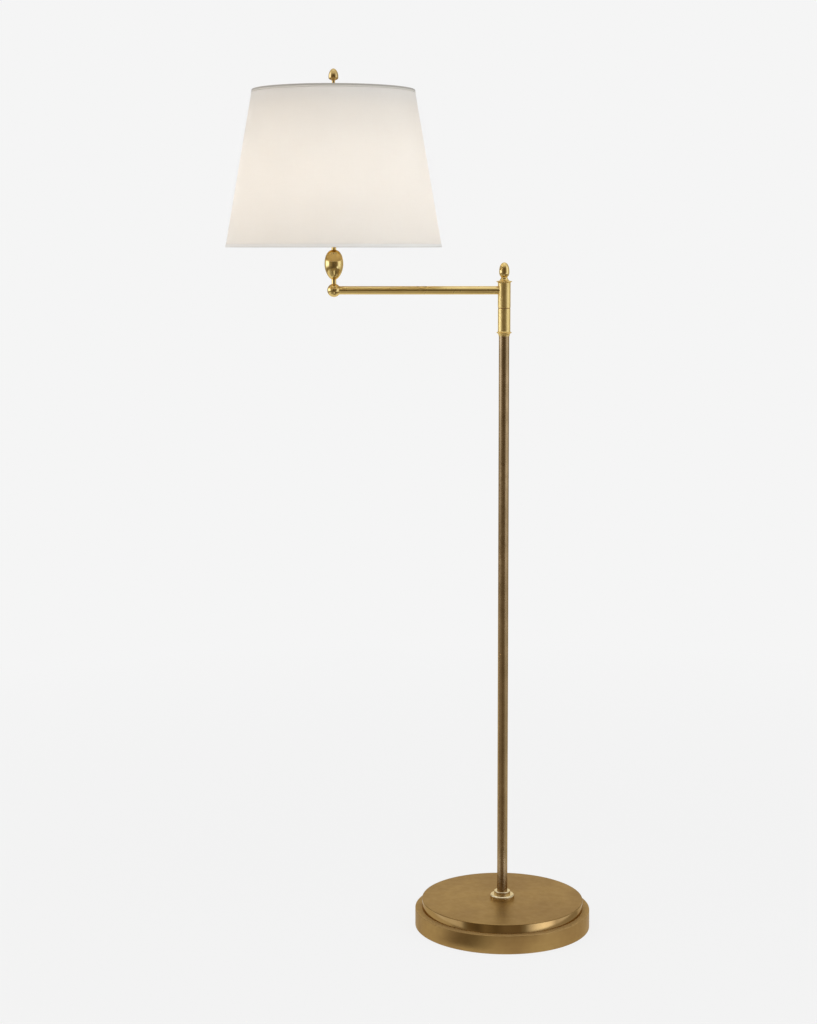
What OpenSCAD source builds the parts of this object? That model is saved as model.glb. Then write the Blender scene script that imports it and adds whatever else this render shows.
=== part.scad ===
// Bridge floor lamp: a weighted stepped foot, a slim tube column, and an arm that
// swivels on top of it and carries a linen drum shade on a wire harp.
// Millimetres. The origin is on the floor under the column, +Z is up, and at rest
// the arm points along -X.

/* [Foot] */
// Outside diameter of the lower ring of the foot
foot_d = 271; // [220:1:330]
// Height of the top edge of the lower ring above the floor
ring_h = 28.2; // [20:0.2:36]
// Width of the flat step between the ring and the raised plate
step_w = 10.5; // [6:0.5:18]
// Height of the raised plate above the ring
plate_rise = 13.9; // [8:0.1:24]
// Sheet thickness of the spun foot cover
shell_t = 1.6; // [1:0.1:2.4]
// Radius of the rounded edges of the foot cover
edge_r = 1.1; // [0.5:0.1:2]
// Gap between the rim of the foot cover and the floor
rim_gap = 0.8; // [0.4:0.1:1.6]
// Thickness of the felt pad under the foot
felt_t = 2.4; // [2:0.1:4]
// Thickness of the cast disc of the weight
weight_t = 17; // [13.5:0.5:18]
// Diameter of the boss in the middle of the weight
boss_d = 70; // [50:1:110]
// Diameter of the recess for the nut under the weight
recess_d = 46; // [40:1:49]
// Depth of the recess for the nut, from the felt pad up
recess_h = 12; // [10:0.5:13]

/* [Foot fastening] */
// Outside diameter of the threaded pipe that holds the foot to the column
nipple_d = 9.8; // [8:0.1:11]
// Bore of the threaded pipe, which the lead passes through
nipple_bore = 6.6; // [5:0.1:7.4]
// Outside diameter of the washer under the weight
washer_d = 32; // [26:1:38]
// Thickness of the washer under the weight
washer_t = 2; // [1:0.1:2.8]
// Width across the flats of the nut under the weight
foot_nut_af = 17; // [15:0.5:22]
// Height of the nut under the weight
foot_nut_h = 5; // [4:0.5:6]
// Length of the threaded plug in the lower end of the column
plug_h = 24; // [16:1:40]

/* [Cord inlet] */
// Height of the cord inlet above the floor, in the rear of the foot
inlet_z = 11; // [10:0.5:13]
// Bore of the inlet bushing
inlet_bore = 6.4; // [5:0.1:7]
// Outside diameter of the bushing where it passes the foot cover
bushing_d = 9.8; // [9:0.1:11]
// Diameter of the flange of the bushing
flange_d = 13; // [12:0.5:15]
// Thickness of the flange of the bushing
flange_t = 1.6; // [1:0.1:2.5]
// Length of the bushing inside the foot cover
bushing_in = 5; // [3:0.5:8]

/* [Column] */
// Outside diameter of the column tube
column_d = 15.9; // [14.6:0.1:16.4]
// Wall thickness of the column tube
column_t = 1.25; // [0.9:0.05:1.5]
// Diameter of the lower tier of the collar at the foot of the column
collar_low_d = 37.5; // [32:0.5:50]
// Height of the lower tier of that collar
collar_low_h = 6.8; // [4:0.2:12]
// Diameter of the upper tier of that collar
collar_high_d = 25; // [20:0.5:29]
// Height of the upper tier of that collar
collar_high_h = 5.4; // [3:0.2:12]
// Radius of the rounded shoulder of the lower tier
collar_round = 2.6; // [0.8:0.2:3.2]
// Thickness of the floor of that collar
collar_floor = 2; // [1.4:0.2:3.2]

/* [Swivel] */
// Height of the turning seam of the swivel above the floor
seam_z = 961.6; // [760:0.2:1300]
// Outside diameter of the fixed sleeve below the seam
sleeve_d = 19.05; // [18.8:0.05:21]
// Length of the fixed sleeve
sleeve_h = 34.4; // [24:0.2:60]
// Thickness of the top plate inside the sleeve
sleeve_plate = 8; // [5:0.5:10]
// Diameter of the rim of the ring under the sleeve
neck_rim_d = 23.4; // [22.4:0.1:30]
// Height of the ring under the sleeve
neck_h = 8.2; // [5:0.2:12]
// Thickness of the rims of that ring and of the cap
rim_t = 1.3; // [0.8:0.1:1.8]
// Outside diameter of the turning head above the seam
head_d = 19.4; // [19:0.1:22]
// Length of the turning head
head_h = 37.4; // [36.4:0.2:50]
// Diameter of the cavity in the turning head
cavity_d = 14.5; // [14.3:0.1:15.5]
// Thickness of the floor of the turning head
head_floor = 6; // [4.5:0.5:7]
// Outside diameter of the hollow spindle that the head turns on
spindle_d = 9.6; // [8.8:0.1:10]
// Bore of the spindle, which the lead passes through
spindle_bore = 5.6; // [4:0.1:6.4]
// Thickness of the fibre washer in the seam
fibre_t = 0.6; // [0.4:0.1:1]
// Thickness of the disc spring on the floor of the head
spring_t = 0.5; // [0.3:0.1:0.7]
// Height of the nut on the spindle
spindle_nut_h = 4; // [3:0.5:4.5]
// Width across the flats of the nut on the spindle
spindle_nut_af = 12; // [11.2:0.1:12.2]
// Diameter of the stop pin
stop_pin_d = 2; // [1.4:0.1:2.2]
// Distance of the stop pin from the axis of the swivel
stop_pin_r = 7; // [6.6:0.1:7.2]
// Turn of the arm from rest to its stop, to either side, in degrees
turn_limit = 160; // [90:1:162]

/* [Cap of the swivel] */
// Diameter of the flared rim of the cap
cap_rim_d = 24.1; // [23:0.1:30]
// Height of the flare of the cap, up to the top of its rim
cap_flare_h = 3.5; // [2.4:0.1:6]
// Height of the tapered top of the cap
cap_taper_h = 3.4; // [2:0.1:6]
// Diameter of the top of the cap
cap_top_d = 12.2; // [11:0.2:16]
// Depth of the spigot of the cap in the head
spigot_h = 3.6; // [2:0.1:3.8]
// Largest diameter of the knob on the cap
knob_d = 15.7; // [12:0.1:20]
// Height of the knob on the cap
knob_h = 25.1; // [18:0.1:36]
// Diameter of the studs of the knob and of the harp
stud_d = 4; // [3:0.1:5]

/* [Arm] */
// Distance from the column's axis to the shade's axis
reach = 260; // [210:1:400]
// Height of the arm's axis above the seam
arm_rise = 27.5; // [26:0.1:28]
// Outside diameter of the arm tube
arm_d = 12.7; // [11.5:0.1:13]
// Wall thickness of the arm tube
arm_t = 1; // [0.8:0.05:1.6]
// Diameter of the ball at the end of the arm
ball_d = 20.6; // [19:0.2:28]
// Depth that the arm tube stops short of the ball's centre
ball_web = 5; // [4.4:0.1:7]

/* [Riser and egg] */
// Outside diameter of the riser pipe
riser_d = 7.2; // [6.8:0.1:9.4]
// Wall thickness of the riser pipe
riser_t = 1.1; // [0.8:0.1:1.4]
// Height of the egg's lower end above the arm's axis
egg_lift = 14.5; // [12.5:0.1:24]
// Largest diameter of the egg
egg_d = 28.8; // [22:0.2:44]
// Height of the egg
egg_h = 48; // [34:0.5:80]
// Length of riser pipe that shows above the egg
riser_gap = 3.4; // [2:0.1:8]
// Width across the flats of the nut under the harp saddle
jam_nut_af = 14; // [12:0.5:18]
// Height of the nut under the harp saddle
jam_nut_h = 3; // [2:0.2:5]

/* [Harp] */
// Height of the harp from the saddle to the seat of the shade
harp_h = 216.9; // [210:0.5:260]
// Largest width of the harp
harp_w = 117.6; // [104:0.2:136]
// Distance between the feet of the harp
harp_foot_w = 54; // [48:0.5:60]
// Diameter of the harp wire
harp_wire_d = 3.6; // [3:0.1:4.2]
// Thickness of the saddle strip
saddle_t = 1.5; // [1:0.1:2.4]
// Width of the saddle strip at the riser
saddle_w = 16; // [13:0.5:20]
// Height of the upright posts of the saddle
post_h = 6; // [4:0.5:8]
// Length of the sliding sleeves over the feet of the harp
ferrule_h = 10; // [9:0.5:12]
// Wall thickness of the sliding sleeves
ferrule_t = 0.9; // [0.6:0.1:1.4]

/* [Lamp holder] */
// Outside diameter of the brass shell of the lamp holder
holder_d = 32; // [31:0.5:38]
// Height of the lamp holder above the saddle
holder_h = 60; // [54:1:74]
// Wall thickness of the brass shell
holder_t = 0.7; // [0.5:0.1:0.9]
// Height of the cap of the lamp holder
holder_cap_h = 20; // [18:0.5:23]
// Wall thickness of the insulating liner
liner_t = 0.6; // [0.4:0.1:0.8]
// Height of the insulating body of the lamp holder
core_h = 18; // [15:0.5:20]
// Inside diameter of the screw shell that takes the lamp
screw_shell_d = 26.8; // [26.8:0.1:27.4]
// Diameter of the shaft of the switch key
key_shaft_d = 3.2; // [2.4:0.1:4]
// Width of the switch key
key_w = 13; // [9:0.5:18]
// Thickness of the switch key
key_t = 4.4; // [4.2:0.1:6]
// Length of the switch key
key_l = 11; // [8:0.5:16]

/* [Lamp bulb] */
// Diameter of the bulb
bulb_d = 60; // [45:1:70]
// Height of the bulb's glass above the lamp holder
bulb_h = 86; // [78:1:110]
// Diameter of the metal cap of the bulb
bulb_cap_d = 26.2; // [25.6:0.1:26.4]
// Glass thickness of the bulb
glass_t = 0.9; // [0.6:0.1:1.6]

/* [Shade] */
// Bottom diameter of the shade
shade_bottom_d = 330.2; // [280:1:420]
// Top diameter of the shade
shade_top_d = 247.6; // [200:0.2:320]
// Upright height of the shade
shade_h = 238.3; // [180:0.1:285]
// Thickness of the linen laminate
panel_t = 0.9; // [0.6:0.1:1.6]
// Width of the hem tapes
hem_w = 5; // [3:0.5:12]
// Thickness of the hem tapes
hem_t = 0.3; // [0.2:0.1:0.6]
// Diameter of the ring wires
ring_wire_d = 3; // [2.2:0.1:4]
// Depth of the spider's hub below the top ring
spider_drop = 12.7; // [6:0.1:20]
// Diameter of the hub of the spider
hub_d = 24; // [18:0.5:32]
// Thickness of the hub of the spider
hub_t = 2; // [1.4:0.1:3]
// Number of spokes of the spider
spokes = 3; // [3:1:4]

/* [Knob on the shade] */
// Largest diameter of the knob
finial_d = 15; // [12:0.1:24]
// Height of the knob above the hub
finial_h = 46.5; // [38:0.1:60]
// Height of the round bud at the top of the knob
bud_h = 17.5; // [12:0.1:24]
// Diameter of the neck of the knob
finial_neck_d = 5; // [4.4:0.1:9]

/* [Fits] */
// Radial clearance where one fixed piece sits in another
slip_fit = 0.05; // [0.02:0.01:0.1]
// Radial clearance where one piece turns or slides on another
run_fit = 0.05; // [0.02:0.01:0.09]
// Gap between faces that turn past each other
face_gap = 0.05; // [0.02:0.01:0.2]

/* [Hidden] */
$fn = 72;

// Finishes
polished_brass = [0.80, 0.64, 0.34];
aged_brass = [0.50, 0.42, 0.28];
brushed_brass = [0.62, 0.50, 0.31];
steel = [0.62, 0.62, 0.60];
iron = [0.20, 0.20, 0.21];
linen = [0.93, 0.90, 0.83];
hem_cloth = [0.80, 0.77, 0.71];

// Heights on the foot
foot_r = foot_d / 2;
plate_r = foot_r - step_w;
plate_top = ring_h + plate_rise;
step_under = ring_h - shell_t;
plate_under = plate_top - shell_t;
weight_play = 1;
weight_rim_w = 8;
disc_top = felt_t + weight_t;
recess_top = felt_t + recess_h;
channel_w = bushing_d + 3;
channel_top = inlet_z + bushing_d / 2 + 1;
nipple_end = 2;
nut_bottom = recess_top - washer_t - foot_nut_h;

// Heights on the column
collar_seat = plate_top + collar_floor;
collar_top = plate_top + collar_low_h + collar_high_h;
column_r = column_d / 2;
column_bore_r = column_r - column_t;
column_top = seam_z - sleeve_plate;
sleeve_bottom = seam_z - sleeve_h;

// Heights in the swivel
head_bottom = seam_z + fibre_t + face_gap;
cavity_floor = head_bottom + head_floor;
head_top = head_bottom + head_h;
spring_cone = 0.5;
spring_foot = cavity_floor + face_gap;
spindle_nut_z = spring_foot + spring_cone + spring_t + face_gap;
spindle_top = spindle_nut_z + spindle_nut_h + 1;
shoulder_d = 2 * column_bore_r - 0.5;
shoulder_h = 2;
groove_depth = 2.2;
pin_sink = 3;
arm_z = seam_z + arm_rise;
arm_end = 3;
cap_top = head_top + cap_flare_h + cap_taper_h;
knob_stud_h = 5;

// Heights on the riser
wireway_d = riser_d - 2 * riser_t + 0.6;
riser_foot = arm_z + wireway_d / 2 + 0.4;
egg_foot = arm_z + egg_lift;
egg_top = egg_foot + egg_h;
jam_foot = egg_top + riser_gap;
saddle_foot = jam_foot + jam_nut_h;
saddle_top = saddle_foot + saddle_t;
riser_end = 8;
riser_top = saddle_top + riser_end;

// Harp
harp_wire_r = harp_wire_d / 2;
foot_x = harp_foot_w / 2;
leg_foot = saddle_top + post_h + face_gap;
bend_in_r = 40;
bend_out = 25;
side_r = 120;
side_turn = 35;
shoulder_r = 24;
shoulder_run = 9;
bulge_x = harp_w / 2 - harp_wire_r;
slant = (bulge_x - foot_x - (bend_in_r + side_r) * (1 - cos(bend_out))) / sin(bend_out);
harp_top = saddle_top + harp_h;
seat_t = 2;
seat_d = 15;
wire_top = harp_top - harp_wire_r - 0.1;
leg_top = wire_top - bend_in_r * sin(bend_out) - slant * cos(bend_out)
  - side_r * (sin(bend_out) + sin(side_turn)) - shoulder_run * cos(side_turn)
  - shoulder_r * (1 - sin(side_turn));
flat_x = bulge_x - side_r * (1 - cos(side_turn)) - shoulder_run * sin(side_turn)
  - shoulder_r * cos(side_turn);

// Lamp holder and bulb
holder_r = holder_d / 2;
holder_top = saddle_top + holder_h;
shell_foot = saddle_top + holder_cap_h - 8;
liner_r = holder_r - holder_t - 0.1;
core_r = liner_r - liner_t - 0.1;
core_foot = saddle_top + holder_cap_h - 4;
core_top = core_foot + core_h;
key_z = core_foot + core_h * 0.62;
key_hole_d = key_shaft_d + 2.4;
contact_t = 0.5;
screw_shell_t = 0.4;
bulb_cap_foot = core_top + 2.2;
bulb_cap_top = holder_top + 2;
bulb_r = bulb_d / 2;
bulb_mid = holder_top + bulb_h - bulb_r;

// Shade
hub_top = harp_top + hub_t;
ring_z = hub_top + spider_drop;
shade_top = ring_z + ring_wire_d / 2 + hem_t;
shade_foot = shade_top - shade_h;
ring_play = 0.1;
glue_t = 0.1;
panel_sunk = hem_t + glue_t;
stud_top = hub_top + 8;
finial_top = hub_top + finial_h;

// Points of an arc about a centre, from one angle to another
function arc(centre, r, from, to, steps = 6) = [
  for (i = [0:steps])
    let (a = from + (to - from) * i / steps)
    centre + r * [cos(a), sin(a)]
];

// Points of a quarter of a superellipse: fuller than an ellipse when n is above 2.
// The angle runs from 0 at the widest place to 90 at the tip; a negative h points down.
function swell(r, z, h, n, from, to, steps = 14) = [
  for (i = [0:steps])
    let (a = from + (to - from) * i / steps)
    [r * pow(cos(a), 2 / n), z + h * pow(sin(a), 2 / n)]
];

// Radius of the shade's outer face at a height
function shade_r(z) = shade_bottom_d / 2
  - (shade_bottom_d - shade_top_d) / 2 * (z - shade_foot) / shade_h;

module tube(outer_d, bore_d, z0, z1) {
  translate([0, 0, z0])
    difference() {
      cylinder(d = outer_d, h = z1 - z0);
      translate([0, 0, -1]) cylinder(d = bore_d, h = z1 - z0 + 2);
    }
}

module hex_nut(af, bore_d, z0, h) {
  translate([0, 0, z0])
    difference() {
      cylinder(d = af / cos(30), h = h, $fn = 6);
      translate([0, 0, -1]) cylinder(d = bore_d, h = h + 2);
    }
}

module revolve(points) {
  rotate_extrude() polygon(points);
}

module at_shade() {
  translate([-reach, 0, 0]) children();
}

// ---- Foot ----

module felt_pad() {
  color([0.16, 0.20, 0.15])
    cylinder(r = foot_r - shell_t - weight_play - 1, h = felt_t);
}

// Cast disc with a boss in the middle, a raised rim that carries the step of the cover,
// a recess for the nut and a channel for the lead
module base_weight() {
  disc_r = foot_r - shell_t - weight_play;
  rim_r = plate_r - shell_t - weight_play;
  color(iron)
    difference() {
      union() {
        translate([0, 0, felt_t]) cylinder(r = disc_r, h = weight_t);
        translate([0, 0, felt_t]) cylinder(d = boss_d, h = plate_under - felt_t);
        tube(2 * disc_r, 2 * (rim_r - weight_rim_w), disc_top - 1, step_under);
      }
      translate([0, 0, felt_t - 1]) cylinder(d = recess_d, h = recess_h + 1);
      translate([0, 0, felt_t]) cylinder(d = nipple_d + 0.6, h = plate_top);
      translate([-channel_w / 2, 0, felt_t - 1])
        cube([channel_w, foot_d, channel_top - felt_t + 1]);
    }
}

// Spun cover with two steps and rounded edges
module base_shell() {
  inner_edge = max(edge_r - shell_t, 0.2);
  hole_r = nipple_d / 2 + 0.3;
  color(brushed_brass)
    difference() {
      revolve(concat(
        [[foot_r - shell_t, rim_gap], [foot_r, rim_gap]],
        arc([foot_r - edge_r, ring_h - edge_r], edge_r, 0, 90),
        [[plate_r, ring_h]],
        arc([plate_r - edge_r, plate_top - edge_r], edge_r, 0, 90),
        [[hole_r, plate_top], [hole_r, plate_under]],
        arc([plate_r - shell_t - inner_edge, plate_under - inner_edge], inner_edge, 90, 0, 3),
        [[plate_r - shell_t, step_under]],
        arc([foot_r - shell_t - inner_edge, step_under - inner_edge], inner_edge, 90, 0, 3)
      ));
      translate([0, foot_r + 1, inlet_z])
        rotate([90, 0, 0]) cylinder(d = bushing_d + 2 * slip_fit, h = 12);
    }
}

// Flanged bushing in the rear wall, with a through bore for the lead
module cord_bushing() {
  color([0.10, 0.10, 0.10])
    translate([0, foot_r + flange_t, inlet_z])
      rotate([90, 0, 0])
        difference() {
          union() {
            cylinder(d = flange_d, h = flange_t);
            cylinder(d = bushing_d, h = flange_t + shell_t + bushing_in);
          }
          translate([0, 0, -1])
            cylinder(d = inlet_bore, h = flange_t + shell_t + bushing_in + 2);
        }
}

module base_washer() {
  color(steel)
    tube(washer_d, nipple_d + 2 * slip_fit, recess_top - washer_t, recess_top);
}

module base_nut() {
  color(steel)
    hex_nut(foot_nut_af, nipple_d + 2 * slip_fit, nut_bottom, foot_nut_h);
}

module base_nipple() {
  color(steel)
    tube(nipple_d, nipple_bore, nut_bottom - nipple_end, collar_seat + plug_h - nipple_end);
}

module column_plug() {
  color(steel)
    tube(2 * (column_bore_r - slip_fit), nipple_d + 2 * slip_fit,
      collar_seat, collar_seat + plug_h);
}

// Two turned tiers with rounded shoulders and a socket for the column
module foot_collar() {
  low_r = collar_low_d / 2;
  high_r = collar_high_d / 2;
  low_top = plate_top + collar_low_h;
  low_round = min(collar_round, collar_low_h / 2, low_r - high_r);
  high_round = 1.2;
  color(polished_brass)
    revolve(concat(
      [[nipple_d / 2 + 0.3, plate_top], [low_r, plate_top]],
      arc([low_r - low_round, low_top - low_round], low_round, 0, 90),
      [[high_r, low_top]],
      arc([high_r - high_round, collar_top - high_round], high_round, 0, 90),
      [[column_r + slip_fit, collar_top], [column_r + slip_fit, collar_seat],
       [nipple_d / 2 + 0.3, collar_seat]]
    ));
}

// ---- Column and the fixed half of the swivel ----

module column() {
  color(aged_brass)
    tube(column_d, 2 * column_bore_r, collar_seat, column_top);
}

// Ring that closes the lower end of the sleeve: a hollow taper that opens upwards to a
// thin rim, and a short cove from the rim up to the sleeve
module neck_ring() {
  bore_r = column_r + slip_fit;
  sleeve_r = sleeve_d / 2;
  foot_z = sleeve_bottom - neck_h;
  taper_r = bore_r + 0.4;
  crown = neck_rim_d / 2 - rim_t / 2;
  cove_h = 0.25 * neck_h;
  rim_z = sleeve_bottom - cove_h - rim_t / 2;
  taper_h = rim_z - rim_t / 2 - foot_z;
  color(polished_brass)
    revolve(concat(
      [[bore_r, foot_z]],
      [for (a = [0:15:75])
        [taper_r + (crown - taper_r) * (1 - cos(a)), foot_z + taper_h * sin(a)]],
      arc([crown, rim_z], rim_t / 2, -90, 90, 8),
      [for (a = [15:15:90])
        [sleeve_r + (crown - sleeve_r) * (1 - sin(a)), sleeve_bottom - cove_h * cos(a)]],
      [[bore_r, sleeve_bottom]]
    ));
}

// Sleeve over the top of the column, closed by a plate that holds spindle and stop pin
module swivel_sleeve() {
  chamfer = 0.4;
  sleeve_r = sleeve_d / 2;
  color(polished_brass)
    difference() {
      revolve([
        [0, column_top], [0, seam_z], [sleeve_r - chamfer, seam_z],
        [sleeve_r, seam_z - chamfer], [sleeve_r, sleeve_bottom],
        [column_r + slip_fit, sleeve_bottom], [column_r + slip_fit, column_top]
      ]);
      translate([0, 0, column_top - 1])
        cylinder(d = spindle_d + 2 * slip_fit, h = sleeve_plate + 2);
      translate([stop_pin_r, 0, seam_z - pin_sink])
        cylinder(d = stop_pin_d + 2 * slip_fit, h = pin_sink + 1);
    }
}

// Hollow spindle with a shoulder under the plate of the sleeve
module swivel_spindle() {
  color(steel)
    difference() {
      union() {
        translate([0, 0, column_top - shoulder_h]) cylinder(d = shoulder_d, h = shoulder_h);
        translate([0, 0, column_top - shoulder_h])
          cylinder(d = spindle_d, h = spindle_top - column_top + shoulder_h);
      }
      translate([0, 0, column_top - shoulder_h - 1])
        cylinder(d = spindle_bore, h = spindle_top - column_top + shoulder_h + 2);
    }
}

module stop_pin() {
  color(steel)
    translate([stop_pin_r, 0, seam_z - pin_sink])
      cylinder(d = stop_pin_d, h = pin_sink + head_bottom - seam_z + groove_depth - 0.4);
}

module fibre_washer() {
  color([0.25, 0.16, 0.10])
    difference() {
      tube(sleeve_d - 1.2, spindle_d + 0.4, seam_z, seam_z + fibre_t);
      translate([stop_pin_r, 0, seam_z - 1])
        cylinder(d = stop_pin_d + 2 * slip_fit, h = fibre_t + 2);
    }
}

// Slightly coned washer, pressed between the floor of the head and the nut
module disc_spring() {
  bore_r = spindle_d / 2 + 2 * slip_fit;
  rim_r = spindle_nut_af / 2 + 0.6;
  color(steel)
    revolve([
      [bore_r, spring_foot + spring_cone], [rim_r, spring_foot],
      [rim_r, spring_foot + spring_t], [bore_r, spring_foot + spring_cone + spring_t]
    ]);
}

module spindle_nut() {
  color(steel)
    hex_nut(spindle_nut_af, spindle_d + 2 * slip_fit, spindle_nut_z, spindle_nut_h);
}

// ---- The turning half of the swivel ----

// Ring groove in the underside of the head: its two ends meet the stop pin
module stop_groove() {
  groove_r = stop_pin_d / 2 + 0.1;
  translate([0, 0, head_bottom - 1]) {
    rotate([0, 0, -turn_limit])
      rotate_extrude(angle = 2 * turn_limit)
        translate([stop_pin_r - groove_r, 0]) square([2 * groove_r, groove_depth + 1]);
    for (side = [-1, 1])
      rotate([0, 0, side * turn_limit])
        translate([stop_pin_r, 0, 0]) cylinder(r = groove_r, h = groove_depth + 1);
  }
}

// Cup that turns on the spindle, with the arm's socket in its side
module swivel_head() {
  chamfer = 0.4;
  head_r = head_d / 2;
  color(polished_brass)
    difference() {
      revolve([
        [spindle_d / 2 + run_fit, head_bottom], [head_r - chamfer, head_bottom],
        [head_r, head_bottom + chamfer], [head_r, head_top], [cavity_d / 2, head_top],
        [cavity_d / 2, cavity_floor], [spindle_d / 2 + run_fit, cavity_floor]
      ]);
      translate([0, 0, arm_z])
        rotate([0, -90, 0]) cylinder(d = arm_d + 2 * slip_fit, h = head_d);
      stop_groove();
    }
}

// Cap with a spigot in the head: a cove opens upwards to a thin rim, and a hollow taper
// leads from the rim to the knob
module head_cap() {
  head_r = head_d / 2;
  top_r = cap_top_d / 2;
  crown = cap_rim_d / 2 - rim_t / 2;
  cove_h = cap_flare_h - rim_t;
  rim_z = head_top + cap_flare_h - rim_t / 2;
  color(polished_brass)
    difference() {
      revolve(concat(
        [[0, head_top - spigot_h], [cavity_d / 2 - slip_fit, head_top - spigot_h],
         [cavity_d / 2 - slip_fit, head_top]],
        [for (a = [0:15:75])
          [head_r + (crown - head_r) * (1 - cos(a)), head_top + cove_h * sin(a)]],
        arc([crown, rim_z], rim_t / 2, -90, 90, 8),
        [for (a = [15:15:90])
          [top_r + (crown - top_r) * (1 - sin(a)), cap_top - cap_taper_h * cos(a)]],
        [[0, cap_top]]
      ));
      translate([0, 0, cap_top - knob_stud_h - 0.5])
        cylinder(d = stud_d + 2 * slip_fit, h = knob_stud_h + 1);
    }
}

// Egg knob: fuller towards its base, with a short foot and a stud into the cap
module head_knob() {
  foot_d_knob = 0.68 * knob_d;
  foot_h = 1.2;
  mid = cap_top + 0.44 * knob_h;
  color(polished_brass) {
    union() {
      revolve(concat(
        [[0, cap_top], [foot_d_knob / 2, cap_top], [foot_d_knob / 2, cap_top + foot_h]],
        swell(knob_d / 2, mid, cap_top + foot_h - mid, 2.4, 58, 0, 8),
        swell(knob_d / 2, mid, cap_top + knob_h - mid, 2.15, 6, 90)
      ));
      translate([0, 0, cap_top - knob_stud_h]) cylinder(d = stud_d, h = knob_stud_h + 1);
    }
  }
}

// ---- Arm, ball and riser ----

module arm_tube() {
  length = reach - ball_web - arm_end;
  color(polished_brass)
    translate([-arm_end, 0, arm_z])
      rotate([0, -90, 0]) tube(arm_d, arm_d - 2 * arm_t, 0, length);
}

// Ball with a socket for the arm, a bore for the riser and a wireway between them
module elbow_ball() {
  color(polished_brass)
    at_shade()
      difference() {
        translate([0, 0, arm_z]) sphere(d = ball_d);
        translate([ball_web, 0, arm_z])
          rotate([0, 90, 0]) cylinder(d = arm_d + 2 * slip_fit, h = ball_d);
        translate([0, 0, arm_z]) rotate([0, 90, 0]) cylinder(d = wireway_d, h = ball_d);
        translate([0, 0, arm_z]) sphere(d = wireway_d);
        translate([0, 0, arm_z]) cylinder(d = wireway_d, h = ball_d);
        translate([0, 0, riser_foot]) cylinder(d = riser_d + 2 * slip_fit, h = ball_d);
      }
}

module riser_pipe() {
  color(polished_brass)
    at_shade() tube(riser_d, riser_d - 2 * riser_t, riser_foot, riser_top);
}

// Egg with its big end up, on the riser
module egg_ornament() {
  mid = egg_foot + 0.52 * egg_h;
  foot_fullness = 1.85;
  top_fullness = 2.25;
  color(polished_brass)
    at_shade()
      difference() {
        revolve(concat(
          [[0, egg_foot]],
          swell(egg_d / 2, mid, egg_foot - mid, foot_fullness, 80, 0, 16),
          swell(egg_d / 2, mid, egg_top - mid, top_fullness, 5, 84, 16),
          [[0, egg_top]]
        ));
        translate([0, 0, egg_foot - 1])
          cylinder(d = riser_d + 2 * slip_fit, h = egg_h + 2);
      }
}

module jam_nut() {
  color(polished_brass)
    at_shade() hex_nut(jam_nut_af, riser_d + 2 * slip_fit, jam_foot, jam_nut_h);
}

// ---- Harp ----

// Strip that tapers from the riser to two upright posts
module harp_saddle() {
  color(polished_brass)
    at_shade()
      difference() {
        union() {
          translate([0, 0, saddle_foot])
            linear_extrude(saddle_t)
              polygon([
                [-foot_x, -harp_wire_d], [0, -saddle_w / 2], [foot_x, -harp_wire_d],
                [foot_x, harp_wire_d], [0, saddle_w / 2], [-foot_x, harp_wire_d]
              ]);
          for (side = [-1, 1])
            translate([side * foot_x, 0, saddle_foot]) {
              cylinder(r = harp_wire_d, h = saddle_t);
              cylinder(d = harp_wire_d, h = saddle_t + post_h);
            }
        }
        translate([0, 0, saddle_foot - 1])
          cylinder(d = riser_d + 2 * slip_fit, h = saddle_t + 2);
      }
}

// Straight length of harp wire from a point, leaning outwards by an angle
module wire_rod(start, lean, length) {
  translate([start[0], 0, start[1]])
    rotate([0, lean, 0]) cylinder(r = harp_wire_r, h = length);
}

// Bent length of harp wire about a centre: a bend draws the wire a little thinner, and
// its ends run on into the straight lengths
module wire_bend(centre, r, from, to) {
  thinning = 0.02;
  run_on = 0.5 * 180 / PI / r;
  translate([centre[0], 0, centre[1]])
    rotate([90, 0, 0])
      rotate([0, 0, from - run_on])
        rotate_extrude(angle = to - from + 2 * run_on)
          translate([r, 0]) circle(r = harp_wire_r - thinning);
}

// One side of the harp: an upright leg, a bend outwards, a slanted run, the long side
// bow, a slanted shoulder and the bend into the flat top
module harp_side() {
  bend_c = [foot_x + bend_in_r, leg_top];
  slant_p = bend_c + bend_in_r * [-cos(bend_out), sin(bend_out)];
  side_p = slant_p + slant * [sin(bend_out), cos(bend_out)];
  side_c = side_p + side_r * [-cos(bend_out), sin(bend_out)];
  run_p = side_c + side_r * [cos(side_turn), sin(side_turn)];
  top_p = run_p + shoulder_run * [-sin(side_turn), cos(side_turn)];
  top_c = top_p - shoulder_r * [cos(side_turn), sin(side_turn)];
  wire_rod([foot_x, leg_foot], 0, leg_top - leg_foot);
  wire_bend(bend_c, bend_in_r, 180 - bend_out, 180);
  wire_rod(slant_p, bend_out, slant);
  wire_bend(side_c, side_r, -bend_out, side_turn);
  wire_rod(run_p, -side_turn, shoulder_run);
  wire_bend(top_c, shoulder_r, side_turn, 90);
}

// Wire harp with a flat seat for the shade and a stud for its knob
module harp() {
  color(polished_brass)
    at_shade()
      union() {
        harp_side();
        mirror([1, 0, 0]) harp_side();
        wire_rod([flat_x, wire_top], -90, 2 * flat_x);
        translate([0, 0, harp_top - seat_t]) cylinder(d = seat_d, h = seat_t);
        translate([0, 0, harp_top - 1]) cylinder(d = stud_d, h = stud_top - harp_top + 1);
      }
}

module ferrule(side) {
  bore_d = harp_wire_d + 2 * run_fit;
  color(polished_brass)
    at_shade()
      translate([side * foot_x, 0, 0])
        tube(bore_d + 2 * ferrule_t, bore_d, saddle_top, saddle_top + ferrule_h);
}

module ferrule_left() {
  ferrule(-1);
}

module ferrule_right() {
  ferrule(1);
}

// ---- Lamp holder ----

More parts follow.
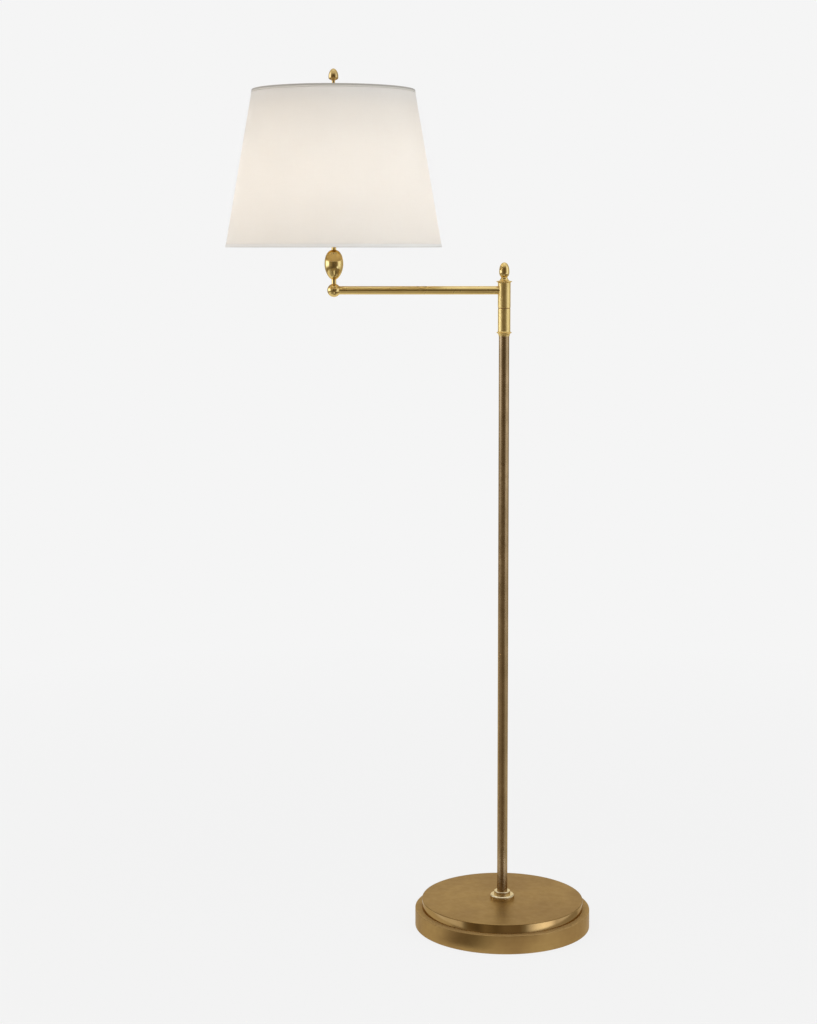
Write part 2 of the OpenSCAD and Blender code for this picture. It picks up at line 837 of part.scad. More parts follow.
// Domed cap on the riser, with a skirt over the shell
module holder_cap() {
  neck_r = riser_d / 2 + 2.4;
  neck_h = 5;
  skirt_r = holder_r + slip_fit + holder_t;
  skirt_h = 8;
  dome_h = holder_cap_h - neck_h - skirt_h;
  z0 = saddle_top;
  color(polished_brass)
    at_shade()
      revolve(concat(
        [[riser_d / 2 + slip_fit, z0], [neck_r, z0], [neck_r, z0 + neck_h]],
        [for (a = [15:15:90])
          [neck_r + (skirt_r - neck_r) * sin(a), z0 + neck_h + dome_h * (1 - cos(a))]],
        [[skirt_r, z0 + holder_cap_h], [skirt_r - holder_t, z0 + holder_cap_h]],
        [for (a = [90:-15:0])
          [neck_r + (skirt_r - holder_t - neck_r) * sin(a),
           z0 + neck_h + holder_t + (dome_h - holder_t) * (1 - cos(a))]],
        [[riser_d / 2 + slip_fit, z0 + neck_h + holder_t]]
      ));
}

// Hole through a tube wall of the lamp holder for the key's shaft
module key_hole(d) {
  translate([0, 0, key_z]) rotate([90, 0, 0]) cylinder(d = d, h = holder_d);
}

module holder_shell() {
  lip = 1;
  color(polished_brass)
    at_shade()
      difference() {
        revolve([
          [holder_r - holder_t, shell_foot], [holder_r, shell_foot],
          [holder_r, holder_top - 2 * lip], [holder_r + lip, holder_top - lip],
          [holder_r + lip, holder_top], [holder_r - holder_t, holder_top]
        ]);
        key_hole(key_hole_d);
      }
}

module holder_liner() {
  color([0.55, 0.44, 0.30])
    at_shade()
      difference() {
        tube(2 * liner_r, 2 * (liner_r - liner_t), shell_foot + 1, holder_top - 1);
        key_hole(key_hole_d);
      }
}

// Insulating body with the switch's bore, two pockets for screws, and the lead's way in
module holder_core() {
  color([0.12, 0.10, 0.09])
    at_shade()
      difference() {
        translate([0, 0, core_foot]) cylinder(r = core_r, h = core_h);
        translate([0, 0, core_foot - 1]) cylinder(d = wireway_d, h = 5);
        translate([0, 0, key_z])
          rotate([90, 0, 0]) cylinder(d = key_shaft_d + 2 * run_fit, h = holder_d);
        for (side = [-1, 1])
          translate([side * core_r, 0, core_foot + core_h * 0.4])
            cube([4.4, 7, 7], center = true);
      }
}

// Two binding screws in the pockets of the insulating body
module terminal_screws() {
  color(polished_brass)
    at_shade()
      for (side = [-1, 1])
        translate([side * (core_r - 2.2), 0, core_foot + core_h * 0.4])
          rotate([0, side * 90, 0]) {
            difference() {
              cylinder(d = 5.4, h = 1.7);
              translate([-3, -0.4, 1]) cube([6, 0.8, 1]);
            }
          }
}

// Screw shell with a beaded rim that takes the bulb's cap
module screw_shell() {
  r = screw_shell_d / 2;
  pitch = 3.6;
  turns = floor((holder_top - 3 - core_top) / pitch);
  roll = 0.35;
  color(aged_brass)
    at_shade()
      revolve(concat(
        [for (i = [0:turns - 1], k = [0:3])
          [r + roll * (1 - cos(90 * k)) / 2, core_top + pitch * (i + k / 4)]],
        [[r, core_top + pitch * turns]],
        [[r + screw_shell_t, core_top + pitch * turns]],
        [for (i = [turns - 1:-1:0], k = [3:-1:0])
          [r + screw_shell_t + roll * (1 - cos(90 * k)) / 2, core_top + pitch * (i + k / 4)]]
      ));
}

// Bent contact strip that the tip of the bulb presses on
module centre_contact() {
  color(aged_brass)
    at_shade()
      translate([0, 3, 0])
        rotate([90, 0, 0])
          linear_extrude(6)
            polygon([
              [-9, core_top], [-5, core_top], [2, core_top + 1.6], [5, core_top + 1.6],
              [5, core_top + 1.6 + contact_t], [1.8, core_top + 1.6 + contact_t],
              [-5.2, core_top + contact_t], [-9, core_top + contact_t]
            ]);
}

// Key on the side of the lamp holder: a shaft and a waisted paddle
module switch_key() {
  shaft_in = core_r - 4;
  key_face = holder_r + 7;
  color([0.12, 0.09, 0.07])
    at_shade()
      translate([0, 0, key_z])
        rotate([90, 0, 0])
          union() {
            translate([0, 0, shaft_in]) cylinder(d = key_shaft_d, h = key_face + 2 - shaft_in);
            translate([0, 0, key_face]) cylinder(d = key_shaft_d + 2.6, h = 2.4);
            hull() {
              translate([0, 0, key_face + 2])
                cylinder(d = key_t, h = 1, $fn = 24);
              for (side = [-1, 1])
                translate([side * (key_w - key_t) / 2, 0, key_face + key_l - key_t / 2])
                  sphere(d = key_t, $fn = 24);
            }
          }
}

// ---- Bulb ----

// Metal screw cap with rolled threads and a contact tip
module bulb_cap() {
  r = bulb_cap_d / 2;
  pitch = 3.6;
  roll = 0.5;
  skirt = 3;
  turns = floor((bulb_cap_top - skirt - bulb_cap_foot - 2) / pitch);
  thread_foot = bulb_cap_top - skirt - pitch * turns;
  color(steel)
    at_shade()
      revolve(concat(
        [[0, bulb_cap_foot], [3, bulb_cap_foot], [4.5, bulb_cap_foot + 0.8],
         [r - 3, thread_foot - 0.4]],
        [for (i = [0:turns - 1], k = [0:3])
          [r - roll * (1 - cos(90 * k)) / 2, thread_foot + pitch * (i + k / 4)]],
        [[r, bulb_cap_top - skirt], [r, bulb_cap_top], [0, bulb_cap_top]]
      ));
}

// Glass envelope: a round head that draws in to a neck in the cap
module bulb_glass() {
  neck_r = bulb_cap_d / 2 - 0.2;
  neck_end = [neck_r + 0.4, bulb_cap_top + 8];
  from_mid = neck_end - [0, bulb_mid];
  lean = -atan2(from_mid[1], from_mid[0]) - acos(bulb_r / norm(from_mid));
  color([0.97, 0.96, 0.92])
    at_shade()
      revolve(concat(
        [[neck_r - glass_t, bulb_cap_top], [neck_r, bulb_cap_top], neck_end],
        arc([0, bulb_mid], bulb_r, -lean, 90, 24),
        arc([0, bulb_mid], bulb_r - glass_t, 90, -lean, 24),
        [neck_end - [glass_t, 0]]
      ));
}

// ---- Shade ----

// Top ring with spokes that dip to a hub on the harp's seat
module shade_spider() {
  wire_r = ring_wire_d / 2;
  ring_r = shade_r(ring_z) - panel_sunk - panel_t - ring_play - wire_r;
  hub_mid = harp_top + hub_t / 2;
  run = ring_r - hub_d / 2 + 2;
  dip = atan2(ring_z - hub_mid, run);
  first_spoke = 30;
  color([0.80, 0.78, 0.74])
    at_shade()
      difference() {
        union() {
          translate([0, 0, ring_z])
            rotate_extrude() translate([ring_r, 0]) circle(r = wire_r);
          for (i = [0:spokes - 1])
            rotate([0, 0, first_spoke + i * 360 / spokes])
              translate([hub_d / 2 - 2, 0, hub_mid])
                rotate([0, 90 - dip, 0])
                  cylinder(r = wire_r * 0.8, h = run / cos(dip));
          translate([0, 0, harp_top]) cylinder(d = hub_d, h = hub_t);
        }
        translate([0, 0, harp_top - 1]) cylinder(d = stud_d + 0.6, h = hub_t + 2);
        translate([0, 0, harp_top - 4]) cylinder(d = hub_d + 6, h = 4);
      }
}

module shade_bottom_ring() {
  wire_r = ring_wire_d / 2;
  z = shade_foot + hem_t + wire_r;
  color([0.80, 0.78, 0.74])
    at_shade()
      translate([0, 0, z])
        rotate_extrude()
          translate([shade_r(z) - panel_sunk - panel_t - ring_play - wire_r, 0])
            circle(r = wire_r);
}

// Sloping band of a given thickness, its outer face sunk below the shade's
module shade_band(z0, z1, sunk, thickness) {
  revolve([
    [shade_r(z0) - sunk - thickness, z0], [shade_r(z0) - sunk, z0],
    [shade_r(z1) - sunk, z1], [shade_r(z1) - sunk - thickness, z1]
  ]);
}

// Linen on a stiff backing, rolled to a cone
module shade_panel() {
  color(linen)
    at_shade() shade_band(shade_foot + hem_t, shade_top - hem_t, panel_sunk, panel_t);
}

// Folded tape over an edge of the panel: a flap outside and a lip over the edge
module hem(edge, inward) {
  lip = edge + inward * hem_t;
  low = min(lip, edge + inward * hem_w);
  high = max(lip, edge + inward * hem_w);
  color(hem_cloth)
    at_shade()
      union() {
        shade_band(low, high, 0, hem_t);
        shade_band(min(edge, lip), max(edge, lip), 0, panel_sunk + panel_t);
      }
}

module top_hem() {
  hem(shade_top, -1);
}

module bottom_hem() {
  hem(shade_foot, 1);
}

// Knob that clamps the shade: a flange, a threaded hub, a slim neck and a bud that comes
// to a soft point
module shade_finial() {
  flange_r = finial_d / 2 - 0.4;
  hub_r = stud_d / 2 + 2.2;
  neck_r = finial_neck_d / 2;
  neck_foot = stud_top + 2;
  bud_foot = finial_top - bud_h;
  mid = bud_foot + 0.3 * bud_h;
  color(polished_brass)
    at_shade()
      difference() {
        revolve(concat(
          [[0, hub_top], [flange_r, hub_top]],
          arc([flange_r - 1, hub_top + 1], 1, 0, 90, 4),
          [[hub_r, hub_top + 2]],
          [for (a = [0:15:90])
            [neck_r + (hub_r - neck_r) * (1 - sin(a)), neck_foot + 6 * sin(a)]],
          [[neck_r, bud_foot - 1]],
          swell(finial_d / 2, mid, bud_foot - mid, 3.2, 74, 0, 8),
          swell(finial_d / 2, mid, finial_top - mid, 1.9, 6, 90)
        ));
        translate([0, 0, hub_top - 1])
          cylinder(d = stud_d + 2 * slip_fit, h = stud_top - hub_top + 2);
      }
}

felt_pad();
base_weight();
base_shell();
cord_bushing();
base_washer();
base_nut();
base_nipple();
column_plug();
foot_collar();
column();
neck_ring();
swivel_sleeve();
swivel_spindle();
stop_pin();
fibre_washer();
disc_spring();
spindle_nut();
swivel_head();
head_cap();
head_knob();
arm_tube();
elbow_ball();
riser_pipe();
egg_ornament();
jam_nut();
harp_saddle();
harp();
ferrule_left();
ferrule_right();
holder_cap();
holder_shell();
holder_liner();
holder_core();
terminal_screws();
screw_shell();
centre_contact();
switch_key();
bulb_cap();
bulb_glass();
shade_spider();
shade_bottom_ring();
shade_panel();
top_hem();
bottom_hem();
shade_finial();
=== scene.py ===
"""Looks of the bridge floor lamp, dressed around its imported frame.

Metres. The foot stands on z = 0 under the column, +Z is up, the arm points along -X at
rest and the camera looks along +Y.
"""
import math

import bpy
import numpy as np
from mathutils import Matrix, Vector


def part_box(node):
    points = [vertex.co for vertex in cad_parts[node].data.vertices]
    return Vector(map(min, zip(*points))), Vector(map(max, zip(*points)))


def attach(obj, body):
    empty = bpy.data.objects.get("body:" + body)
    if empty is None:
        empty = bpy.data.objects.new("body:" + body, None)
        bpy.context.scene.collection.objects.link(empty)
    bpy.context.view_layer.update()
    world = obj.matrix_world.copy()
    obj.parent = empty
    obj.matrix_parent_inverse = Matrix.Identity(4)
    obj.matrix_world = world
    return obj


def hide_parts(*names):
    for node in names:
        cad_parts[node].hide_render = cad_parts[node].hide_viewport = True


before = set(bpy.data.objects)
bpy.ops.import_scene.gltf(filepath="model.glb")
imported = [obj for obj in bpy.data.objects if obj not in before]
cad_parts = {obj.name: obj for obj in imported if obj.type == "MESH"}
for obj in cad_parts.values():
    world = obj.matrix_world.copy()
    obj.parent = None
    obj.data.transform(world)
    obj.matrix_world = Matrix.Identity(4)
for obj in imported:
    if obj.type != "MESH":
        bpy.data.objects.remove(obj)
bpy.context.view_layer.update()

MM = 0.001
SHADE_X = -0.260            # axis of shade, egg, holder and bulb


# ---------------------------------------------------------------- camera

def make_camera():
    """Camera at the height of the swivel, pitched down a little, as the photograph has it."""
    data = bpy.data.cameras.new("camera")
    data.lens = 69.54
    data.sensor_width = 36.0
    data.shift_y = -0.12
    data.clip_start, data.clip_end = 0.05, 60.0
    eye = bpy.data.objects.new("camera", data)
    eye.location = (-0.1462, -3.0236, 1.0519)
    eye.rotation_euler = (math.radians(90.0 - 4.05), 0.0, 0.0)
    bpy.context.scene.collection.objects.link(eye)
    bpy.context.scene.camera = eye


# ---------------------------------------------------------------- node helpers

class Sheet:
    """The node tree of one material or group, with short ways to add and join nodes."""

    def __init__(self, tree):
        self.tree = tree

    def add(self, kind, sockets=(), **settings):
        """A node of that kind; sockets maps an input's name or number to a value or an output."""
        node = self.tree.nodes.new(kind)
        for key, value in settings.items():
            setattr(node, key, value)
        for key, value in dict(sockets).items():
            socket = node.inputs[key]
            if isinstance(value, bpy.types.NodeSocket):
                self.tree.links.new(value, socket)
            else:
                socket.default_value = value
        return node

    def math(self, operation, *values, clamp=False):
        return self.add("ShaderNodeMath", enumerate(values), operation=operation,
                        use_clamp=clamp).outputs[0]

    def vector(self, operation, *values):
        node = self.add("ShaderNodeVectorMath", enumerate(values), operation=operation)
        return node.outputs["Value" if operation in ("LENGTH", "DOT_PRODUCT") else "Vector"]

    def split(self, vector):
        return self.add("ShaderNodeSeparateXYZ", {0: vector}).outputs

    def join(self, x, y, z):
        return self.add("ShaderNodeCombineXYZ", {0: x, 1: y, 2: z}).outputs[0]

    def noise(self, vector, scale, detail=3.0, roughness=0.55):
        node = self.add("ShaderNodeTexNoise", {
            "Vector": vector, "Scale": scale, "Detail": detail, "Roughness": roughness})
        return node.outputs["Fac"]

    def remap(self, value, low, high, to_low=0.0, to_high=1.0):
        node = self.add("ShaderNodeMapRange", {
            "Value": value, "From Min": low, "From Max": high,
            "To Min": to_low, "To Max": to_high})
        return node.outputs["Result"]

    def blend(self, factor, a, b):
        """Colour a to colour b by the factor."""
        node = self.add("ShaderNodeMix", data_type="RGBA")
        for socket, value in ((node.inputs[0], factor), (node.inputs[6], a), (node.inputs[7], b)):
            if isinstance(value, bpy.types.NodeSocket):
                self.tree.links.new(value, socket)
            else:
                socket.default_value = value
        return node.outputs[2]

    def bump(self, height, distance, normal=None):
        sockets = {"Height": height, "Distance": distance}
        if normal is not None:
            sockets["Normal"] = normal
        return self.add("ShaderNodeBump", sockets).outputs["Normal"]


def new_group(name, inputs, outputs):
    """An empty node group with named float or vector sockets."""
    tree = bpy.data.node_groups.new(name, "ShaderNodeTree")
    for label, kind, value in inputs:
        socket = tree.interface.new_socket(label, in_out="INPUT", socket_type=kind)
        if value is not None:
            socket.default_value = value
    for label, kind in outputs:
        tree.interface.new_socket(label, in_out="OUTPUT", socket_type=kind)
    sheet = Sheet(tree)
    entry, leave = sheet.add("NodeGroupInput"), sheet.add("NodeGroupOutput")
    return tree, sheet, entry.outputs, leave.inputs


FLOAT, VECTOR = "NodeSocketFloat", "NodeSocketVector"


def use(sheet, tree, **sockets):
    """The outputs of a group placed in a material; underscores stand for spaces."""
    node = sheet.add("ShaderNodeGroup", node_tree=tree)
    for key, value in sockets.items():
        socket = node.inputs[key.replace("_", " ")]
        if isinstance(value, bpy.types.NodeSocket):
            sheet.tree.links.new(value, socket)
        else:
            socket.default_value = value
    return node.outputs


def grey(level):
    return (level, level, level, 1.0)


# ---------------------------------------------------------------- shared effects

def turned_lines_group():
    """Fine rings left by the lathe or the buffing wheel: noise that changes fast along the
    axis and along the radius and slowly round the piece. The axis is the vector's Z."""
    tree, s, i, o = new_group("turned_lines", [
        ("Vector", VECTOR, None), ("Lines", FLOAT, 1600.0), ("Drift", FLOAT, 12.0),
    ], [("Height", FLOAT), ("Shade", FLOAT)])
    x, y, z = s.split(i["Vector"])
    radius = s.vector("LENGTH", s.join(x, y, 0.0))
    along = s.math("ADD", s.math("MULTIPLY", z, 0.83), radius)
    place = s.join(s.math("MULTIPLY", x, i["Drift"]), s.math("MULTIPLY", y, i["Drift"]),
                   s.math("MULTIPLY", along, i["Lines"]))
    fine = s.noise(place, 1.0, 4.0, 0.7)
    broad = s.noise(s.vector("MULTIPLY", place, (0.4, 0.4, 0.11)), 1.0, 2.0, 0.5)
    s.tree.links.new(fine, o["Height"])
    s.tree.links.new(s.math("ADD", s.math("MULTIPLY", fine, 0.6),
                            s.math("MULTIPLY", broad, 0.4)), o["Shade"])
    return tree


def patina_group():
    """Uneven tone of handled metal: wide clouds, smaller smudges and rare specks."""
    tree, s, i, o = new_group("patina", [
        ("Vector", VECTOR, None), ("Clouds", FLOAT, 22.0), ("Smudges", FLOAT, 110.0),
    ], [("Cloud", FLOAT), ("Smudge", FLOAT), ("Speck", FLOAT)])
    cloud = s.noise(i["Vector"], i["Clouds"], 3.0, 0.5)
    smudge = s.noise(i["Vector"], i["Smudges"], 4.0, 0.6)
    speck = s.noise(i["Vector"], 1500.0, 1.0, 0.5)
    s.tree.links.new(s.remap(cloud, 0.36, 0.64), o["Cloud"])
    s.tree.links.new(s.remap(smudge, 0.35, 0.65), o["Smudge"])
    s.tree.links.new(s.remap(speck, 0.70, 0.78), o["Speck"])
    return tree


def linen_group():
    """Plain weave on a flat cloth coordinate in metres: warp and weft waves that pass over
    and under each other, each thread of its own width and tone, with a slub here and there."""
    tree, s, i, o = new_group("linen_weave", [
        ("Vector", VECTOR, None), ("Threads", FLOAT, 1700.0), ("Slub", FLOAT, 0.5),
    ], [("Height", FLOAT), ("Tone", FLOAT), ("Gap", FLOAT)])
    x, y, _ = s.split(i["Vector"])
    waves, tones = [], []
    for across, along in ((x, y), (y, x)):
        wander = s.noise(s.join(s.math("MULTIPLY", across, 60.0),
                                s.math("MULTIPLY", along, 9.0), 0.0), 1.0, 2.0)
        count = s.math("MULTIPLY", s.math("ADD", across, s.math("MULTIPLY", wander, 0.0006)),
                       i["Threads"])
        number = s.math("FLOOR", count)
        waves.append(s.math("ABSOLUTE", s.math("SINE", s.math("MULTIPLY", count, math.pi))))
        tones.append(s.noise(s.join(s.math("MULTIPLY", number, 1.7),
                                    s.math("MULTIPLY", along, 35.0), 3.1), 1.0, 2.0, 0.7))
    cell = s.math("PINGPONG", s.math("ADD",
                                     s.math("FLOOR", s.math("MULTIPLY", x, i["Threads"])),
                                     s.math("FLOOR", s.math("MULTIPLY", y, i["Threads"]))), 1.0)
    half = s.math("MULTIPLY", cell, 0.5)
    over = s.math("ADD", s.math("MULTIPLY", waves[0], s.math("ADD", half, 0.5)),
                  s.math("MULTIPLY", waves[1], s.math("SUBTRACT", 1.0, half)))
    slub = s.remap(s.math("MAXIMUM", tones[0], tones[1]), 0.58, 0.80)
    s.tree.links.new(s.math("ADD", s.math("MULTIPLY", over, 0.5),
                            s.math("MULTIPLY", slub, i["Slub"])), o["Height"])
    s.tree.links.new(s.math("MULTIPLY", s.math("ADD", tones[0], tones[1]), 0.5), o["Tone"])
    s.tree.links.new(s.remap(s.math("MULTIPLY", waves[0], waves[1]), 0.0, 0.25), o["Gap"])
    return tree


def grain_group():
    """Pits and bumps of a cast, pressed or felted surface at two sizes."""
    tree, s, i, o = new_group("grain", [
        ("Vector", VECTOR, None), ("Size", FLOAT, 900.0), ("Spread", FLOAT, 0.5),
    ], [("Height", FLOAT), ("Tone", FLOAT)])
    fine = s.noise(i["Vector"], i["Size"], 3.0, 0.6)
    wide = s.noise(i["Vector"], s.math("MULTIPLY", i["Size"], 0.12), 3.0, 0.5)
    s.tree.links.new(s.math("ADD", s.math("MULTIPLY", fine, 0.6), s.math("MULTIPLY", wide, 0.4)),
                     o["Height"])
    other = s.math("SUBTRACT", 1.0, i["Spread"])
    mottle = s.math("ADD", s.math("MULTIPLY", fine, i["Spread"]), s.math("MULTIPLY", wide, other))
    s.tree.links.new(s.remap(mottle, 0.35, 0.65), o["Tone"])
    return tree


TURNED, PATINA, LINEN, GRAIN = turned_lines_group(), patina_group(), linen_group(), grain_group()


# ---------------------------------------------------------------- materials

def new_material(name):
    material = bpy.data.materials.new(name)
    material.use_nodes = True
    material.node_tree.nodes.clear()
    sheet = Sheet(material.node_tree)
    return material, sheet, sheet.add("ShaderNodeOutputMaterial")


def finish_shader(sheet, output, **sockets):
    """A Principled shader on the output, with constants set on its own sockets."""
    shader = sheet.add("ShaderNodeBsdfPrincipled",
                       {key.replace("_", " "): value for key, value in sockets.items()})
    sheet.tree.links.new(shader.outputs["BSDF"], output.inputs["Surface"])


def object_place(sheet, centre=(0.0, 0.0, 0.0), turn=(0.0, 0.0, 0.0)):
    """Object coordinates moved so that the piece's own axis is the vector's Z."""
    coords = sheet.add("ShaderNodeTexCoord").outputs["Object"]
    moved = sheet.vector("SUBTRACT", coords, centre)
    return sheet.add("ShaderNodeMapping", {"Vector": moved, "Rotation": turn}).outputs[0]


def tone(r, g, b):
    return (r, g, b, 1.0)


SPECK_SHARE = 0.25                  # how far a speck goes towards its dark tone
RING_GLOSS = 0.06                   # how much the lathe's rings change the roughness
WALL_GLOSS = 0.25                   # a burnished wall has this share of the roughness
LEDGE_DULL, LEDGE_LIGHT_SHARE = 0.4, 0.7   # added roughness of a ledge, and the share of its painted lighter tone
# painted light: the lighter tone a ledge is given, so that it shows less dark than the wall it
# reflects
LEDGE_PAINTED_LIGHT = tone(0.66, 0.46, 0.19)
UPRIGHT = (0.8, 0.3)                # from lying to upright, by how far the normal points up


def brass(name, light, dark, rough, centre=(0, 0, 0), turn=(0, 0, 0), lines=1600.0,
          line_depth=0.0000006, line_tone=0.25, clouds=22.0, uneven=0.5, drift=12.0,
          edge=tone(0.86, 0.76, 0.58), smooth_wall=None):
    """Brass: its tone runs between a light and a dark one in clouds and along the lathe's rings,
    smudges and rings change its gloss, and the rings are cut in as a fine bump. The edge colour
    is what it shows at a glancing angle. smooth_wall gives the lower and upper height of an
    upright wall that is burnished to a quarter of the roughness, and how far its normal leans up,
    as on a wall turned with a little draft; the ledge under it is duller, and is painted lighter
    as painted light, so that it shows less dark than the wall it reflects."""
    material, s, out = new_material(name)
    place = object_place(s, centre, turn)
    rings = use(s, TURNED, Vector=place, Lines=lines, Drift=drift)
    wear = use(s, PATINA, Vector=place, Clouds=clouds)
    aged = s.math("ADD", s.math("MULTIPLY", wear["Cloud"], uneven),
                  s.math("MULTIPLY", rings["Shade"], line_tone), clamp=True)
    colour = s.blend(s.math("MULTIPLY", wear["Speck"], SPECK_SHARE),
                     s.blend(aged, light, dark),
                     tone(dark[0] * 0.5, dark[1] * 0.45, dark[2] * 0.4))
    gloss = s.math("ADD", s.remap(wear["Smudge"], 0.0, 1.0, rough[0], rough[1]),
                   s.math("MULTIPLY", s.math("SUBTRACT", rings["Shade"], 0.5), RING_GLOSS))
    face = None
    if smooth_wall:
        low, high, lean = smooth_wall
        geometry = s.add("ShaderNodeNewGeometry").outputs
        upright = s.remap(s.math("ABSOLUTE", s.split(geometry["True Normal"])[2]), *UPRIGHT)
        height = s.split(place)[2]
        wall = s.math("MULTIPLY", upright,
                      s.math("MULTIPLY", s.math("GREATER_THAN", height, low),
                             s.math("LESS_THAN", height, high)))
        ledge = s.math("MULTIPLY", s.math("SUBTRACT", 1.0, upright),
                       s.math("LESS_THAN", height, low + 0.5 * MM))
        gloss = s.math("MULTIPLY", gloss, s.remap(wall, 0.0, 1.0, 1.0, WALL_GLOSS))
        gloss = s.math("ADD", gloss, s.math("MULTIPLY", ledge, LEDGE_DULL))
        # painted light: the ledge is turned towards a lighter tone
        colour = s.blend(s.math("MULTIPLY", ledge, LEDGE_LIGHT_SHARE), colour, LEDGE_PAINTED_LIGHT)
        face = s.vector("NORMALIZE", s.vector("ADD", geometry["Normal"], s.join(
            0.0, 0.0, s.math("MULTIPLY", wall, lean))))
    finish_shader(s, out, Base_Color=colour, Roughness=gloss, Metallic=1.0,
                  Specular_Tint=edge, Normal=s.bump(rings["Height"], line_depth, normal=face))
    return material


def plain_grain(name, light, dark, rough, size, depth, metallic=0.0, spread=0.5, **more):
    """A cast, moulded or pressed surface: two tones by its grain, and the grain as a bump."""
    material, s, out = new_material(name)
    grain = use(s, GRAIN, Vector=object_place(s), Size=size, Spread=spread)
    finish_shader(s, out, Base_Color=s.blend(grain["Tone"], light, dark),
                  Roughness=s.remap(grain["Tone"], 0.0, 1.0, rough[0], rough[1]),
                  Metallic=metallic, Normal=s.bump(grain["Height"], depth), **more)
    return material


SLUB_TONE, MOTTLE_TONE, GAP_TONE = 0.75, 0.15, 0.22     # what each adds to the darker tone
END_FADE = (4.0 * MM, 30.0 * MM)    # over this way up from its ends the cloth lets more through
LAP_THROUGH = 0.68                  # light through one layer where the cloth lies double


def cloth(name, light, dark, threads, slub, through, depth, ends=None, roll_shade=None,
          passed=None, laps=None):
    """Woven cloth, which lets some of the light behind it through. The weave follows the piece's
    own UV map, which is in metres. Near the two ends of the cloth, given as lower and upper V,
    less light passes; past a V of roll's first two values its third colour starts, a painted
    shade on a rolled edge.
    The light that passes takes the colour passed, or else that of the face. Below the first
    and above the second U of laps the cloth lies double and is soaked with glue, and each
    layer lets more light through."""
    material, s, out = new_material(name)
    place = s.add("ShaderNodeUVMap", uv_map="cloth").outputs[0]
    along, up = s.split(place)[:2]
    weave = use(s, LINEN, Vector=place, Threads=threads, Slub=slub)
    mottle = s.remap(s.noise(place, 14.0, 3.0, 0.5), 0.35, 0.65)
    shade = s.math("ADD", s.math("MULTIPLY", weave["Tone"], SLUB_TONE),
                   s.math("MULTIPLY", mottle, MOTTLE_TONE))
    colour = s.blend(shade, light, dark)
    # painted shade: the rolled edge turns to the darker third colour
    if roll_shade:
        colour = s.blend(s.remap(up, roll_shade[0], roll_shade[1]), colour, roll_shade[2])
    thread = s.math("SUBTRACT", 1.0, weave["Gap"])
    colour = s.blend(s.math("MULTIPLY", thread, GAP_TONE), colour, dark)
    if ends:
        inside = s.math("MINIMUM", s.math("SUBTRACT", up, ends[0]),
                        s.math("SUBTRACT", ends[1], up))
        through = s.remap(inside, *END_FADE, 0.5 * through, through)
    if laps:
        double = s.math("MAXIMUM", s.math("LESS_THAN", along, laps[0]),
                        s.math("GREATER_THAN", along, laps[1]))
        through = s.math("MAXIMUM", through, s.math("MULTIPLY", double, LAP_THROUGH))
    normal = s.bump(weave["Height"], depth)
    face = s.add("ShaderNodeBsdfPrincipled", {
        "Base Color": colour, "Roughness": s.remap(weave["Tone"], 0.3, 0.7, 0.82, 0.95),
        "Sheen Weight": 0.15, "Sheen Roughness": 0.5, "Normal": normal})
    back = s.add("ShaderNodeBsdfTranslucent", {"Color": passed or colour, "Normal": normal})
    mix = s.add("ShaderNodeMixShader", {0: through, 1: face.outputs[0], 2: back.outputs[0]})
    s.tree.links.new(mix.outputs[0], out.inputs["Surface"])
    return material


POLISHED_LIGHT, POLISHED_DARK = tone(0.77, 0.57, 0.22), tone(0.64, 0.45, 0.15)
BRUSHED_LIGHT, BRUSHED_DARK = tone(0.43, 0.275, 0.095), tone(0.27, 0.155, 0.055)
AGED_LIGHT, AGED_DARK = tone(0.46, 0.32, 0.160), tone(0.31, 0.21, 0.095)


def polished(name, centre, turn=(0, 0, 0), **more):
    """Polished brass of the upper fittings, turned round an axis through the centre."""
    settings = dict(rough=(0.10, 0.17), lines=900.0, line_tone=0.18, uneven=0.35)
    settings.update(more)
    return brass(name, POLISHED_LIGHT, POLISHED_DARK, centre=centre, turn=turn, **settings)


PLATE_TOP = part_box("base_shell")[1].z
RING_TOP = PLATE_TOP - 13.9 * MM    # the foot's ledge, under the plate's upright wall
ARM_HEIGHT = 0.9891

